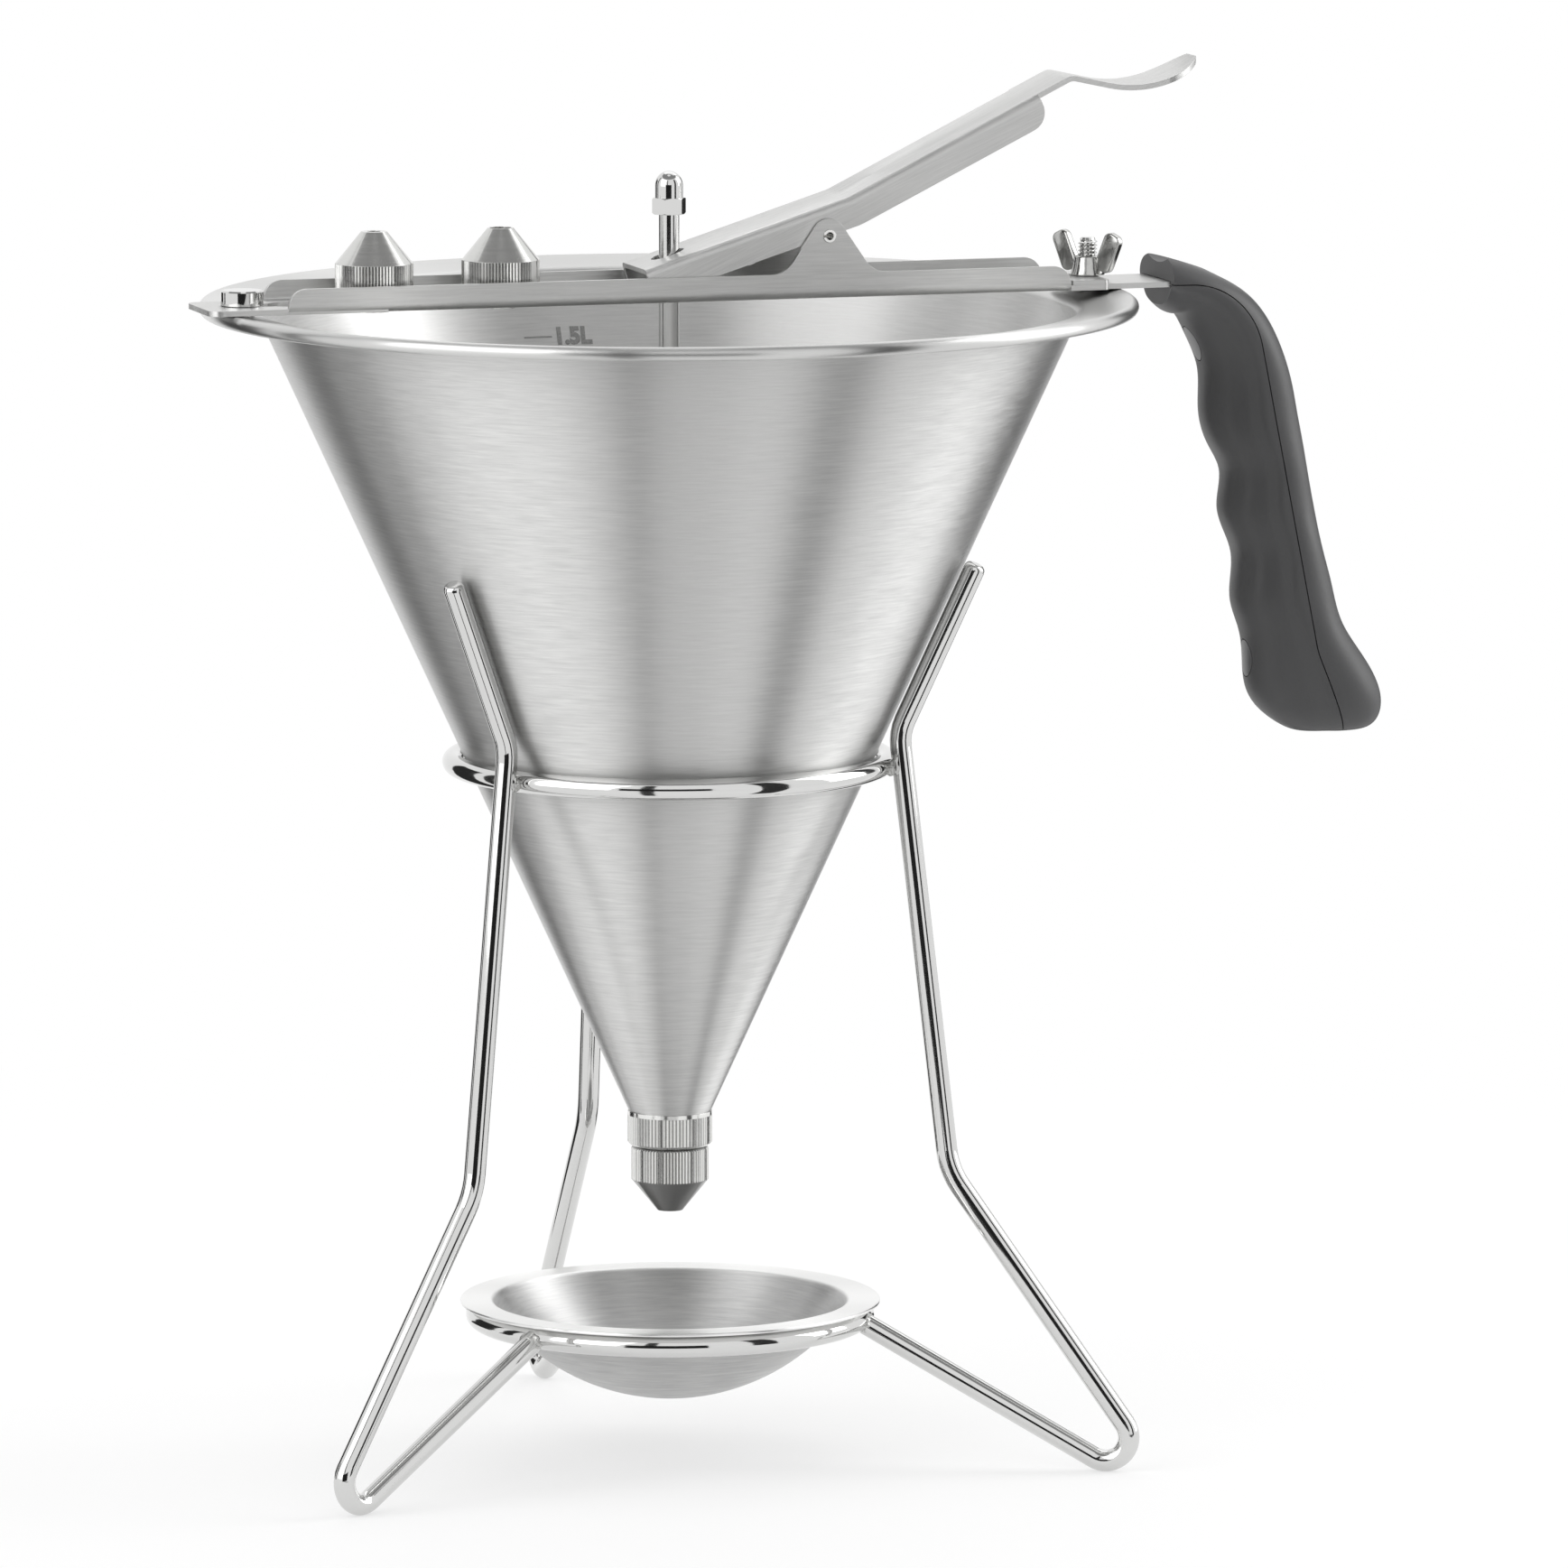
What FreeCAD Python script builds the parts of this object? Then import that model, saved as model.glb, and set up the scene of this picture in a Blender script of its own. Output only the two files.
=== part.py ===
import FreeCAD, Part
import math
import os

# Batter dispenser: a spun funnel with a lever-lifted valve rod, standing in a bent wire stand over a drip bowl.
# Millimetres. The origin is on the funnel's axis at floor level, +X runs along the crossbar to the handle, +Z is up.

Vector = FreeCAD.Vector
up = Vector(0, 0, 1)
across = Vector(0, 1, 0)
origin = Vector(0, 0, 0)

# Stand
wire_diameter = 5.0
upper_ring_radius = 50.0
upper_ring_height = 162.6
lower_ring_radius = 44.9
lower_ring_height = 33.2
leg_count = 3
right_leg_angle = -29.4
arm_end_height = 210.2
arm_gap = 0.75
arm_end_round = 1.4
knee_radius = 66.0
knee_height = 69.3
arm_bend = 12.0
knee_bend = 18.0
foot_radius = 102.9
foot_bend = 5.6
weld_gap = 0.1
weld_diameter = 3.6

# Drip bowl
bowl_sheet = 0.8
bowl_flange_radius = 48.7
bowl_mouth_radius = 41.4
bowl_depth = 23.0
bowl_seat_gap = 0.3

# Funnel
cone_half_angle = 24.6
funnel_sheet = 0.8
funnel_seat_gap = 0.3
mouth_bend = 3.0
rim_radius = 108.0
rim_flange_width = 13.8
bead_diameter = 3.2
flange_slope = 9.0

# Outlet collar, welded under the cone
collar_radius = 9.8
collar_height = 8.0
collar_lip = 0.25
collar_plain_band = 1.0
collar_chamfer = 0.7
collar_socket_depth = 2.0
collar_bore_radius = 4.6
spigot_radius = 6.1
spigot_length = 6.0
slip_gap = 0.05

# Nozzles, all alike but for the orifice
nozzle_radius = 8.95
nozzle_skirt = 7.8
nozzle_tip_height = 7.3
nozzle_tip_radius = 3.0
nozzle_chamfer = 0.5
nozzle_thread_depth = 6.5
nozzle_seat_radius = 5.0
nozzle_land = 1.9
nozzle_gap = 0.3
orifice_mounted = 2.0
orifice_small = 1.5
orifice_large = 2.5
knurl_count = 72
knurl_depth = 0.35

# Crossbar
bar_width = 23.5
bar_sheet = 1.25
bar_bend = 1.8
bar_seat_gap = 0.1
flange_height = 5.8
bar_end_inset = 14.6
flange_corner = 4.2
tongue_length = 18.3
tongue_width = 22.6
tongue_corner = 3.0
tail_length = 9.4
tang_width = 20.0
tang_inner_width = 15.0
tang_drop = 80.7
pivot_x = 35.0
pivot_height = 14.4
ear_half_base = 10.6
ear_tip_radius = 3.9
ear_foot_fillet = 6.0
pin_diameter = 3.0
pin_slot = 0.6
pin_wall = 0.6
pin_proud = 0.25
pin_fit = 0.03
turn_gap = 0.06

# Doubler plate under the wing nut
doubler_thickness = 1.1
doubler_inner_width = 17.8
doubler_inner_length = 14.0

# Studs on the rim flange
button_inset = 6.6
button_neck_radius = 3.0
button_head_radius = 4.9
button_head_height = 3.4
button_lift = 0.2
button_chamfer = 0.35
keyhole_shift = 11.0
keyhole_gap = 0.4
stud_inset = 6.8
stud_radius = 2.2
stud_collar_radius = 3.2
stud_height_over_bar = 11.2
stud_hole_gap = 0.25
stud_foot_sink = 0.5

# Wing nut
wing_nut_radius = 4.1
wing_nut_top_radius = 3.0
wing_nut_hub = 4.6
wing_nut_lift = 0.06
wing_height = 10.6
wing_span = 20.4
wing_thickness = 1.9
wing_lean = 24.0
wing_turn = -57.0
wing_corner = 1.9
wing_width = 4.6
wing_foot = 0.5

# Nozzle pegs
peg_end_inset = 23.2
peg_spacing = 30.0
peg_radius = 6.0
peg_height = 5.4
peg_base_radius = 8.2
peg_base_height = 1.0
peg_rivet_radius = 2.0
peg_rivet_head_radius = 3.4
peg_rivet_head = 1.0

# Lever
lever_sheet = 1.2
lever_width = 20.2
lever_bend = 1.8
plate_over_pin = 6.7
left_arm_angle = 17.6
right_arm_angle = 26.3
left_arm_length = 43.5
crank_distance = 8.0
crank_bend = 9.0
channel_length = 50.5
right_arm_length = 59.6
lever_depth = 7.0
lever_end_corner = 4.6
lever_stop_gap = 0.35
lobe_radius = 4.6
tab_width = 18.2
tab_drop_angle = 12.0
tab_rise_angle = 38.0
tab_lead = 9.5
tab_curve = 28.0
tab_bend = 3.0
rod_slot_length = 7.6
rod_slot_width = 5.6
rod_slot_shift = 0.4

# Torsion spring round the pin
spring_wire = 1.2
spring_turns = 6
spring_pitch = 1.8
spring_pin_gap = 0.35
spring_web_gap = 0.15
spring_web_leg = 20.0
spring_lever_leg = 5.0
spring_lever_lean = 7.0

# Valve rod, its plug and its nut
rod_radius = 2.4
rod_guide_gap = 0.08
free_play = 9.1
rod_thread_radius = 2.0
rod_thread_length = 6.0
plug_gap = 0.15
plug_bore_gap = 0.25
plug_low = 11.8
plug_high = 7.6
plug_shoulder = 1.5
plug_neck = 2.2
rod_spigot_radius = 1.2
rod_spigot_length = 2.6
nut_flats = 7.0
nut_hex_height = 3.8
nut_dome_radius = 3.25
nut_height = 9.9

# Handle, two shells round the bent tang
handle_half_width = 13.0
shell_gap = 0.25
tang_gap = 0.12
handle_length = 106.5
handle_clear_of_rim = 10.0
scallop_depth = 1.7
scallop_half_width = 8.5
scallop_slope = 10.3
path_lead = 4.5
path_bend = 17.5
path_lean = 11.0
path_knee_drop = 86.7
path_foot_lean = 22.5
path_foot_drop = 120.7
screw_radius = 1.7
screw_head_radius = 3.2
screw_head_height = 2.4
screw_end_wall = 1.6
screw_longest_reach = 6.0
screw_gap = 0.1
upper_screw_angle = 30.0
lower_screw_drop = 89.2
plug_half_length = 4.5
plug_half_width = 3.9
plug_thickness = 2.0
plug_side_gap = 0.22
screw_depth_in_grip = 5.5


def sin(angle):
    return math.sin(math.radians(angle))


def cos(angle):
    return math.cos(math.radians(angle))


def tan(angle):
    return math.tan(math.radians(angle))


def side_plane(u, v):
    return Vector(u, 0, v)


def plan_plane(u, v):
    return Vector(u, v, 0)


def unit(u, v):
    length = math.hypot(u, v)
    return u / length, v / length


def corner_arc(before, corner, after, radius):
    """Start, middle and end of the arc that rounds a corner of a flat outline."""
    au, av = unit(before[0] - corner[0], before[1] - corner[1])
    bu, bv = unit(after[0] - corner[0], after[1] - corner[1])
    half = math.acos(max(-1.0, min(1.0, au * bu + av * bv))) / 2
    mu, mv = unit(au + bu, av + bv)
    reach = radius / math.tan(half)
    depth = radius / math.sin(half) - radius
    start = (corner[0] + au * reach, corner[1] + av * reach)
    middle = (corner[0] + mu * depth, corner[1] + mv * depth)
    end = (corner[0] + bu * reach, corner[1] + bv * reach)
    return start, middle, end


def rounded_edges(points, place, closed):
    """Straight edges through (u, v, radius) points, with an arc of that radius at each."""
    count = len(points)
    stops = []
    for index, (u, v, radius) in enumerate(points):
        at_end = not closed and index in (0, count - 1)
        if radius > 0 and not at_end:
            arc = corner_arc(points[index - 1], (u, v), points[(index + 1) % count], radius)
            stops.append([place(*spot) for spot in arc])
        else:
            stops.append([place(u, v)])
    edges = []
    for index, stop in enumerate(stops):
        if len(stop) == 3:
            edges.append(Part.Arc(*stop).toShape())
        if index + 1 < count or closed:
            following = stops[(index + 1) % count][0]
            if stop[-1].distanceToPoint(following) > 1e-6:
                edges.append(Part.LineSegment(stop[-1], following).toShape())
    return edges


def rounded_face(points, place):
    return Part.Face(Part.Wire(rounded_edges(points, place, True)))


def spun(points):
    """Solid of revolution about the funnel's axis from a (radius, height, corner) outline."""
    return rounded_face(points, side_plane).revolve(origin, up, 360)


def side_prism(points, low_y, high_y):
    face = rounded_face(points, side_plane)
    face.translate(Vector(0, low_y, 0))
    return face.extrude(Vector(0, high_y - low_y, 0))


def plan_prism(points, low_z, high_z):
    face = rounded_face(points, plan_plane)
    face.translate(Vector(0, 0, low_z))
    return face.extrude(Vector(0, 0, high_z - low_z))


def sheet_outline(points, thickness):
    """Closed outline of a bent sheet whose middle runs through (u, v, bend radius) points."""
    near, far = [], []
    count = len(points)
    for index, (u, v, radius) in enumerate(points):
        before = points[max(index - 1, 0)]
        after = points[min(index + 1, count - 1)]
        in_dir = unit(u - before[0], v - before[1]) if index > 0 else None
        out_dir = unit(after[0] - u, after[1] - v) if index < count - 1 else None
        first = in_dir or out_dir
        second = out_dir or in_dir
        mu, mv = unit(-first[1] - second[1], first[0] + second[0])
        reach = thickness / 2 / (mu * -first[1] + mv * first[0])
        turn = first[0] * second[1] - first[1] * second[0]
        swing = math.copysign(thickness / 2, turn) if radius > 0 else 0.0
        near.append((u + mu * reach, v + mv * reach, radius - swing if radius > 0 else 0.0))
        far.append((u - mu * reach, v - mv * reach, radius + swing if radius > 0 else 0.0))
    return near + far[::-1]


def tangent_point(start, centre, radius, side):
    """Where the line from start touches the circle, on its left (side 1) or right (side -1)."""
    du, dv = centre[0] - start[0], centre[1] - start[1]
    distance = math.hypot(du, dv)
    turn = math.asin(radius / distance) * side
    length = math.sqrt(distance ** 2 - radius ** 2)
    au, av = du / distance, dv / distance
    return (
        start[0] + length * (au * math.cos(turn) - av * math.sin(turn)),
        start[1] + length * (au * math.sin(turn) + av * math.cos(turn)),
    )


def crossing(first, first_dir, second, second_dir):
    """Where two straight lines of a plane cross."""
    cross = first_dir[0] * second_dir[1] - first_dir[1] * second_dir[0]
    gap_u, gap_v = second[0] - first[0], second[1] - first[1]
    step = (gap_u * second_dir[1] - gap_v * second_dir[0]) / cross
    return first[0] + first_dir[0] * step, first[1] + first_dir[1] * step


def cylinder(radius, height, base=origin, direction=up):
    return Part.makeCylinder(radius, height, base, direction)


def turned(shape, degrees):
    copy = shape.copy()
    copy.rotate(origin, up, degrees)
    return copy


def swept(edges, radius):
    """Round wire along a path of tangent edges."""
    path = Part.Wire(edges)
    first = edges[0]
    start = first.valueAt(first.FirstParameter)
    heading = first.tangentAt(first.FirstParameter)
    ring = Part.Wire(Part.makeCircle(radius, start, heading))
    return path.makePipeShell([ring], True, False)


def exported(name, shape):
    tidy = shape.copy().removeSplitter()
    if not tidy.isValid():
        tidy = shape
    tidy.exportStep("parts/" + name + ".step")
    print(name, "solids", len(tidy.Solids), "valid", tidy.isValid(), "volume", round(tidy.Volume, 1))


# Levels and places worked out from the sizes above
wire_radius = wire_diameter / 2
bead_radius = bead_diameter / 2
cone_tan = tan(cone_half_angle)
cone_wall = funnel_sheet / cos(cone_half_angle)
seat_offset = wire_radius + funnel_seat_gap
apex_height = (
    upper_ring_height
    + seat_offset * sin(cone_half_angle)
    - (upper_ring_radius - seat_offset * cos(cone_half_angle)) / cone_tan
)
mouth_radius = rim_radius - rim_flange_width
mouth_height = apex_height + (mouth_radius + cone_wall) / cone_tan
bead_centre = (
    rim_radius - bead_radius,
    mouth_height + (rim_radius - bead_radius - mouth_radius) * tan(flange_slope) - bead_radius / cos(flange_slope),
)
rim_top = bead_centre[1] + bead_radius
collar_top = apex_height + (collar_radius - collar_lip) / cone_tan
collar_bottom = collar_top - collar_height
nozzle_top = collar_bottom - nozzle_gap
nozzle_height = nozzle_skirt + nozzle_tip_height
bar_bottom = rim_top + bar_seat_gap
web_top = bar_bottom + bar_sheet
tang_middle = bar_bottom + bar_sheet / 2
half_bar = bar_width / 2
half_lever = lever_width / 2
pin_radius = pin_diameter / 2
pivot = (pivot_x, bar_bottom + pivot_height)
doubler_top = web_top + doubler_thickness
flange_half_length = rim_radius - bar_end_inset
tail_end = flange_half_length + tail_length
peg_far_x = peg_end_inset - flange_half_length
peg_near_x = peg_far_x + peg_spacing
button_x = rim_radius - button_inset
stud_x = rim_radius - stud_inset
stud_hole_radius = stud_radius + stud_hole_gap
left_dir = (cos(left_arm_angle), sin(left_arm_angle))
right_dir = (cos(right_arm_angle), sin(right_arm_angle))
arm_foot = (pivot[0] - plate_over_pin * left_dir[1], pivot[1] + plate_over_pin * left_dir[0])
rod_lever_height = arm_foot[1] - arm_foot[0] * tan(left_arm_angle)
nut_bottom = rod_lever_height + free_play
path_start_x = rim_radius + handle_clear_of_rim
path_centre = (path_start_x + path_lead, tang_middle - path_bend)
path_knee_height = tang_middle - path_knee_drop
path_foot_height = tang_middle - path_foot_drop
tang_straight_end = tang_middle - tang_drop
stored_bottom = web_top + peg_base_height + slip_gap


def cone_radius(height):
    return (height - apex_height) * cone_tan


def flange_top(radius):
    """Height of the rim flange's upper face at a radius."""
    return mouth_height + (radius - mouth_radius) * tan(flange_slope)


def ring(radius, height):
    return Part.makeTorus(radius, wire_radius, Vector(0, 0, height))


def leg_edges():
    """Middle line of one leg in its own radial plane, from the arm's end to the lower ring."""
    arm_dir = (sin(cone_half_angle), cos(cone_half_angle))
    offset = wire_radius + arm_gap
    arm_point = (offset * cos(cone_half_angle), apex_height - offset * sin(cone_half_angle))
    knee = (knee_radius, knee_height)
    ring_point = (upper_ring_radius, upper_ring_height)
    touch = tangent_point(knee, ring_point, wire_diameter + weld_gap, -1)
    post_dir = (touch[0] - knee[0], touch[1] - knee[1])
    elbow = crossing(arm_point, arm_dir, knee, post_dir)
    reach = (arm_end_height - arm_point[1]) / arm_dir[1]
    arm_end = (arm_point[0] + arm_dir[0] * reach, arm_end_height)
    foot = (foot_radius, wire_radius + foot_bend)
    target = (lower_ring_radius, lower_ring_height)
    outer = tangent_point(knee, foot, foot_bend, 1)
    lower = tangent_point(target, foot, foot_bend, -1)
    down = rounded_edges(
        [(*arm_end, 0), (*elbow, arm_bend), (*knee, knee_bend), (*outer, 0)], side_plane, False
    )
    mu, mv = unit(outer[0] + lower[0] - 2 * foot[0], outer[1] + lower[1] - 2 * foot[1])
    low = (foot[0] + mu * foot_bend, foot[1] + mv * foot_bend)
    arc = Part.Arc(side_plane(*outer), side_plane(*low), side_plane(*lower)).toShape()
    back = Part.LineSegment(side_plane(*lower), side_plane(*target)).toShape()
    return down + [arc, back]


def leg():
    body = swept(leg_edges(), wire_radius)
    start = leg_edges()[0].Vertexes[0].Point
    ends = [edge for edge in body.Edges if edge.BoundBox.Center.distanceToPoint(start) < wire_radius / 2]
    body = body.makeFillet(arm_end_round, ends)
    socket = Part.makeTorus(lower_ring_radius, wire_radius + weld_gap, Vector(0, 0, lower_ring_height))
    return body.cut(socket)


def weld_beads(legs):
    """A bead where each leg meets the two rings, cut to the wires it joins."""
    upper = upper_ring_radius
    beads = []
    top = cylinder(weld_diameter / 2, wire_diameter, Vector(upper, 0, upper_ring_height), Vector(1, 0, 0))
    slope = leg_edges()[-1].tangentAt(0) * -1
    at_ring = Vector(lower_ring_radius, 0, lower_ring_height)
    low = cylinder(wire_radius + weld_gap * 2, wire_radius * 1.3, at_ring, slope)
    for index in range(leg_count):
        angle = right_leg_angle + index * 360 / leg_count
        for bead, ring_solid in ((top, upper_ring), (low, lower_ring)):
            shape = turned(bead, angle).cut(ring_solid).cut(legs[index])
            beads.append(max(shape.Solids, key=lambda solid: solid.Volume))
    return Part.makeCompound(beads)


def drip_bowl():
    """Spherical bowl with a flat flange that hangs in the lower ring."""
    flange_low = lower_ring_height + wire_radius + bowl_seat_gap
    inner_depth = bowl_depth - bowl_sheet
    inner_radius = (bowl_mouth_radius ** 2 + inner_depth ** 2) / (2 * inner_depth)
    outer_radius = inner_radius + bowl_sheet
    centre_z = flange_low + bowl_sheet + inner_radius - inner_depth
    ball = Part.makeSphere(outer_radius, Vector(0, 0, centre_z))
    hollow = Part.makeSphere(inner_radius, Vector(0, 0, centre_z))
    half = outer_radius * 2
    above = Part.makeBox(half * 2, half * 2, half * 2, Vector(-half, -half, flange_low + bowl_sheet))
    flange = cylinder(bowl_flange_radius, bowl_sheet, Vector(0, 0, flange_low))
    rim_edges = [edge for edge in flange.Edges if edge.Curve.TypeId == "Part::GeomCircle"]
    flange = flange.makeFillet(bowl_sheet * 0.45, rim_edges)
    return ball.cut(above).fuse(flange).cut(hollow)


def funnel_cone():
    """Straight cone, flange and rolled bead, spun from one outline."""
    low = collar_top - collar_socket_depth
    inner_low = (cone_radius(low) - cone_wall, low)
    outer_low = (cone_radius(low), low)
    slope = (cos(flange_slope), sin(flange_slope))
    cone_dir = (sin(cone_half_angle), cos(cone_half_angle))
    inner_corner = (mouth_radius, mouth_height)
    under = (mouth_radius + funnel_sheet * slope[1], mouth_height - funnel_sheet * slope[0])
    outer_corner = crossing(outer_low, cone_dir, under, slope)
    normal = 90 + flange_slope
    bite = math.degrees(math.acos((bead_radius - funnel_sheet) / bead_radius))
    spots = [
        (bead_centre[0] + bead_radius * cos(angle), bead_centre[1] + bead_radius * sin(angle))
        for angle in (normal + bite, normal + 180 + bite / 2, normal)
    ]
    out_arc = corner_arc(outer_low, outer_corner, spots[0], mouth_bend - funnel_sheet)
    in_arc = corner_arc(spots[2], inner_corner, inner_low, mouth_bend)
    line = [
        (inner_low, outer_low), (outer_low, out_arc[0]), out_arc, (out_arc[2], spots[0]), spots,
        (spots[2], in_arc[0]), in_arc, (in_arc[2], inner_low),
    ]
    edges = []
    for stretch in line:
        stops = [side_plane(*spot) for spot in stretch]
        curve = Part.Arc(*stops) if len(stops) == 3 else Part.LineSegment(*stops)
        edges.append(curve.toShape())
    return Part.Face(Part.Wire(edges)).revolve(origin, up, 360)


def knurled_ring(radius, low, high):
    """Straight-knurled blank: a many-toothed prism."""
    points = []
    for index in range(knurl_count * 2):
        angle = 180 * index / knurl_count
        size = radius if index % 2 == 0 else radius - knurl_depth
        points.append((size * cos(angle), size * sin(angle), 0))
    return plan_prism(points, low, high)


def outlet_collar():
    socket = collar_top - collar_socket_depth
    ledge = cone_radius(socket) - cone_wall
    spigot_end = collar_bottom - spigot_length
    blank = spun([
        (collar_bore_radius, spigot_end, 0),
        (spigot_radius - collar_chamfer, spigot_end, 0),
        (spigot_radius, spigot_end + collar_chamfer, 0),
        (spigot_radius, collar_bottom, 0),
        (collar_radius - collar_chamfer, collar_bottom, 0),
        (collar_radius, collar_bottom + collar_chamfer, 0),
        (collar_radius, collar_top, 0),
        (cone_radius(collar_top) + slip_gap, collar_top, 0),
        (cone_radius(socket) + slip_gap, socket - slip_gap, 0),
        (ledge, socket - slip_gap, 0),
        (collar_bore_radius, socket - slip_gap - (ledge - collar_bore_radius) / cone_tan, 0),
    ])
    band = cylinder(collar_radius, collar_plain_band, Vector(0, 0, collar_top - collar_plain_band))
    teeth = knurled_ring(collar_radius, spigot_end, collar_top - collar_plain_band)
    return blank.common(teeth.fuse(band))


def nozzle(orifice):
    """Nozzle standing on its open skirt, tip up, at the origin."""
    tip = nozzle_height
    blank = spun([
        (spigot_radius + slip_gap, 0, 0),
        (nozzle_radius - nozzle_chamfer, 0, 0),
        (nozzle_radius, nozzle_chamfer, 0),
        (nozzle_radius, nozzle_skirt, 0),
        (nozzle_tip_radius, tip, 0),
        (orifice, tip, 0),
        (orifice, tip - nozzle_land, 0),
        (nozzle_seat_radius, nozzle_thread_depth, 0),
        (spigot_radius + slip_gap, nozzle_thread_depth, 0),
    ])
    teeth = knurled_ring(nozzle_radius, 0, nozzle_skirt)
    tip_cone = cylinder(nozzle_radius, nozzle_tip_height, Vector(0, 0, nozzle_skirt))
    return blank.common(teeth.fuse(tip_cone))


def mounted_nozzle():
    shape = nozzle(orifice_mounted)
    shape.rotate(origin, Vector(1, 0, 0), 180)
    shape.translate(Vector(0, 0, nozzle_top))
    return shape


def stored_nozzle(orifice, x):
    shape = nozzle(orifice)
    shape.translate(Vector(x, 0, stored_bottom))
    return shape


def nozzle_pegs():
    """Bosses riveted in the web, that the spare nozzles screw on."""
    pegs = []
    for x in (peg_near_x, peg_far_x):
        boss = cylinder(peg_radius, peg_height, Vector(x, 0, web_top))
        crown = [edge for edge in boss.Edges if edge.BoundBox.ZMin > web_top + peg_height / 2]
        boss = boss.makeChamfer(collar_chamfer, crown)
        base = cylinder(peg_base_radius, peg_base_height, Vector(x, 0, web_top))
        shank = cylinder(peg_rivet_radius - pin_fit, bar_sheet, Vector(x, 0, bar_bottom))
        head = cylinder(peg_rivet_head_radius, peg_rivet_head, Vector(x, 0, bar_bottom - peg_rivet_head))
        pegs.append(boss.fuse([base, shank, head]).removeSplitter())
    return Part.makeCompound(pegs)


def bar_channel():
    """Channel with raised ears: the folded section, trimmed to its side view."""
    ear_top = pivot[1] + ear_tip_radius
    inner = half_bar - bar_sheet
    section = [
        (-half_bar, ear_top, 0), (-half_bar, bar_bottom, bar_bend), (half_bar, bar_bottom, bar_bend),
        (half_bar, ear_top, 0), (inner, ear_top, 0), (inner, web_top, bar_bend - bar_sheet),
        (-inner, web_top, bar_bend - bar_sheet), (-inner, ear_top, 0),
    ]
    end = -flange_half_length
    face = rounded_face(section, lambda u, v: Vector(end, u, v))
    channel = face.extrude(Vector(flange_half_length * 2, 0, 0))
    flange_line = bar_bottom + flange_height
    base_left = (pivot_x - ear_half_base, flange_line)
    touch = tangent_point(base_left, pivot, ear_tip_radius, 1)
    rise = (touch[1] - base_left[1]) / (touch[0] - base_left[0])
    peak = flange_line + rise * ear_half_base
    outline = [
        (end, bar_bottom, 0), (end, flange_line, flange_corner),
        (pivot_x - ear_half_base, flange_line, ear_foot_fillet), (pivot_x, peak, ear_tip_radius),
        (pivot_x + ear_half_base, flange_line, ear_foot_fillet),
        (flange_half_length, flange_line, flange_corner), (flange_half_length, bar_bottom, 0),
    ]
    return channel.common(side_prism(outline, -half_bar, half_bar))


def handle_path(end_height):
    """Middle of the tang: flat, bent down through the handle, leaning out again at its foot."""
    down = (sin(path_lean), -cos(path_lean))
    bend_end = (path_centre[0] + path_bend * cos(path_lean), path_centre[1] + path_bend * sin(path_lean))
    corner = crossing((path_start_x, tang_middle), (1, 0), bend_end, down)
    knee = (bend_end[0] + (bend_end[1] - path_knee_height) * tan(path_lean), path_knee_height)
    points = [(path_start_x, tang_middle, 0), (*corner, path_bend)]
    if end_height > path_knee_height:
        points.append((bend_end[0] + (bend_end[1] - end_height) * tan(path_lean), end_height, 0))
    else:
        foot_x = knee[0] + (knee[1] - end_height) * tan(path_foot_lean)
        points += [(*knee, path_bend), (foot_x, end_height, 0)]
    return points


def bent_tang(width, thickness, end_height):
    return side_prism(sheet_outline(handle_path(end_height), thickness), -width / 2, width / 2)


def cross_bar():
    half_tongue = tongue_width / 2
    half_tang = tang_width / 2
    tongue_end = -flange_half_length - tongue_length
    inside = flange_half_length - bar_width
    tongue = plan_prism([
        (tongue_end, -half_tongue, tongue_corner), (-inside, -half_tongue, 0),
        (-inside, half_tongue, 0), (tongue_end, half_tongue, tongue_corner),
    ], bar_bottom, web_top)
    tail = plan_prism([
        (inside, -half_tang, 0), (flange_half_length, -half_tang, 0), (flange_half_length, -half_bar, 0),
        (tail_end, -half_bar, bar_sheet), (tail_end, -half_tang, 0), (path_start_x + bar_sheet, -half_tang, 0),
        (path_start_x + bar_sheet, half_tang, 0), (tail_end, half_tang, 0), (tail_end, half_bar, bar_sheet),
        (flange_half_length, half_bar, 0), (flange_half_length, half_tang, 0), (inside, half_tang, 0),
    ], bar_bottom, web_top)
    tang = bent_tang(tang_inner_width, bar_sheet, tang_straight_end)
    shape = bar_channel().fuse([tongue, tail, tang])
    through = bar_sheet * 3
    low = bar_bottom - bar_sheet
    holes = [cylinder(rod_radius + rod_guide_gap, through, Vector(0, 0, low))]
    holes += [cylinder(peg_rivet_radius, through, Vector(x, 0, low)) for x in (peg_near_x, peg_far_x)]
    holes.append(cylinder(stud_hole_radius, through, Vector(stud_x, 0, low)))
    slot_half = button_neck_radius + keyhole_gap
    entry = -button_x + keyhole_shift
    holes.append(cylinder(button_head_radius + keyhole_gap, through, Vector(entry, 0, low)))
    holes.append(cylinder(slot_half, through, Vector(-button_x, 0, low)))
    holes.append(Part.makeBox(keyhole_shift, slot_half * 2, through, Vector(-button_x, -slot_half, low)))
    holes.append(cylinder(pin_radius + pin_fit, bar_width * 2, Vector(pivot[0], -bar_width, pivot[1]), across))
    (x, z), (dx, dz) = upper_screw()
    holes.append(cylinder(screw_radius + screw_gap * 2, through, Vector(x - dx * bar_sheet, 0, z - dz * bar_sheet), Vector(dx, 0, dz)))
    return shape.cut(holes)


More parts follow.
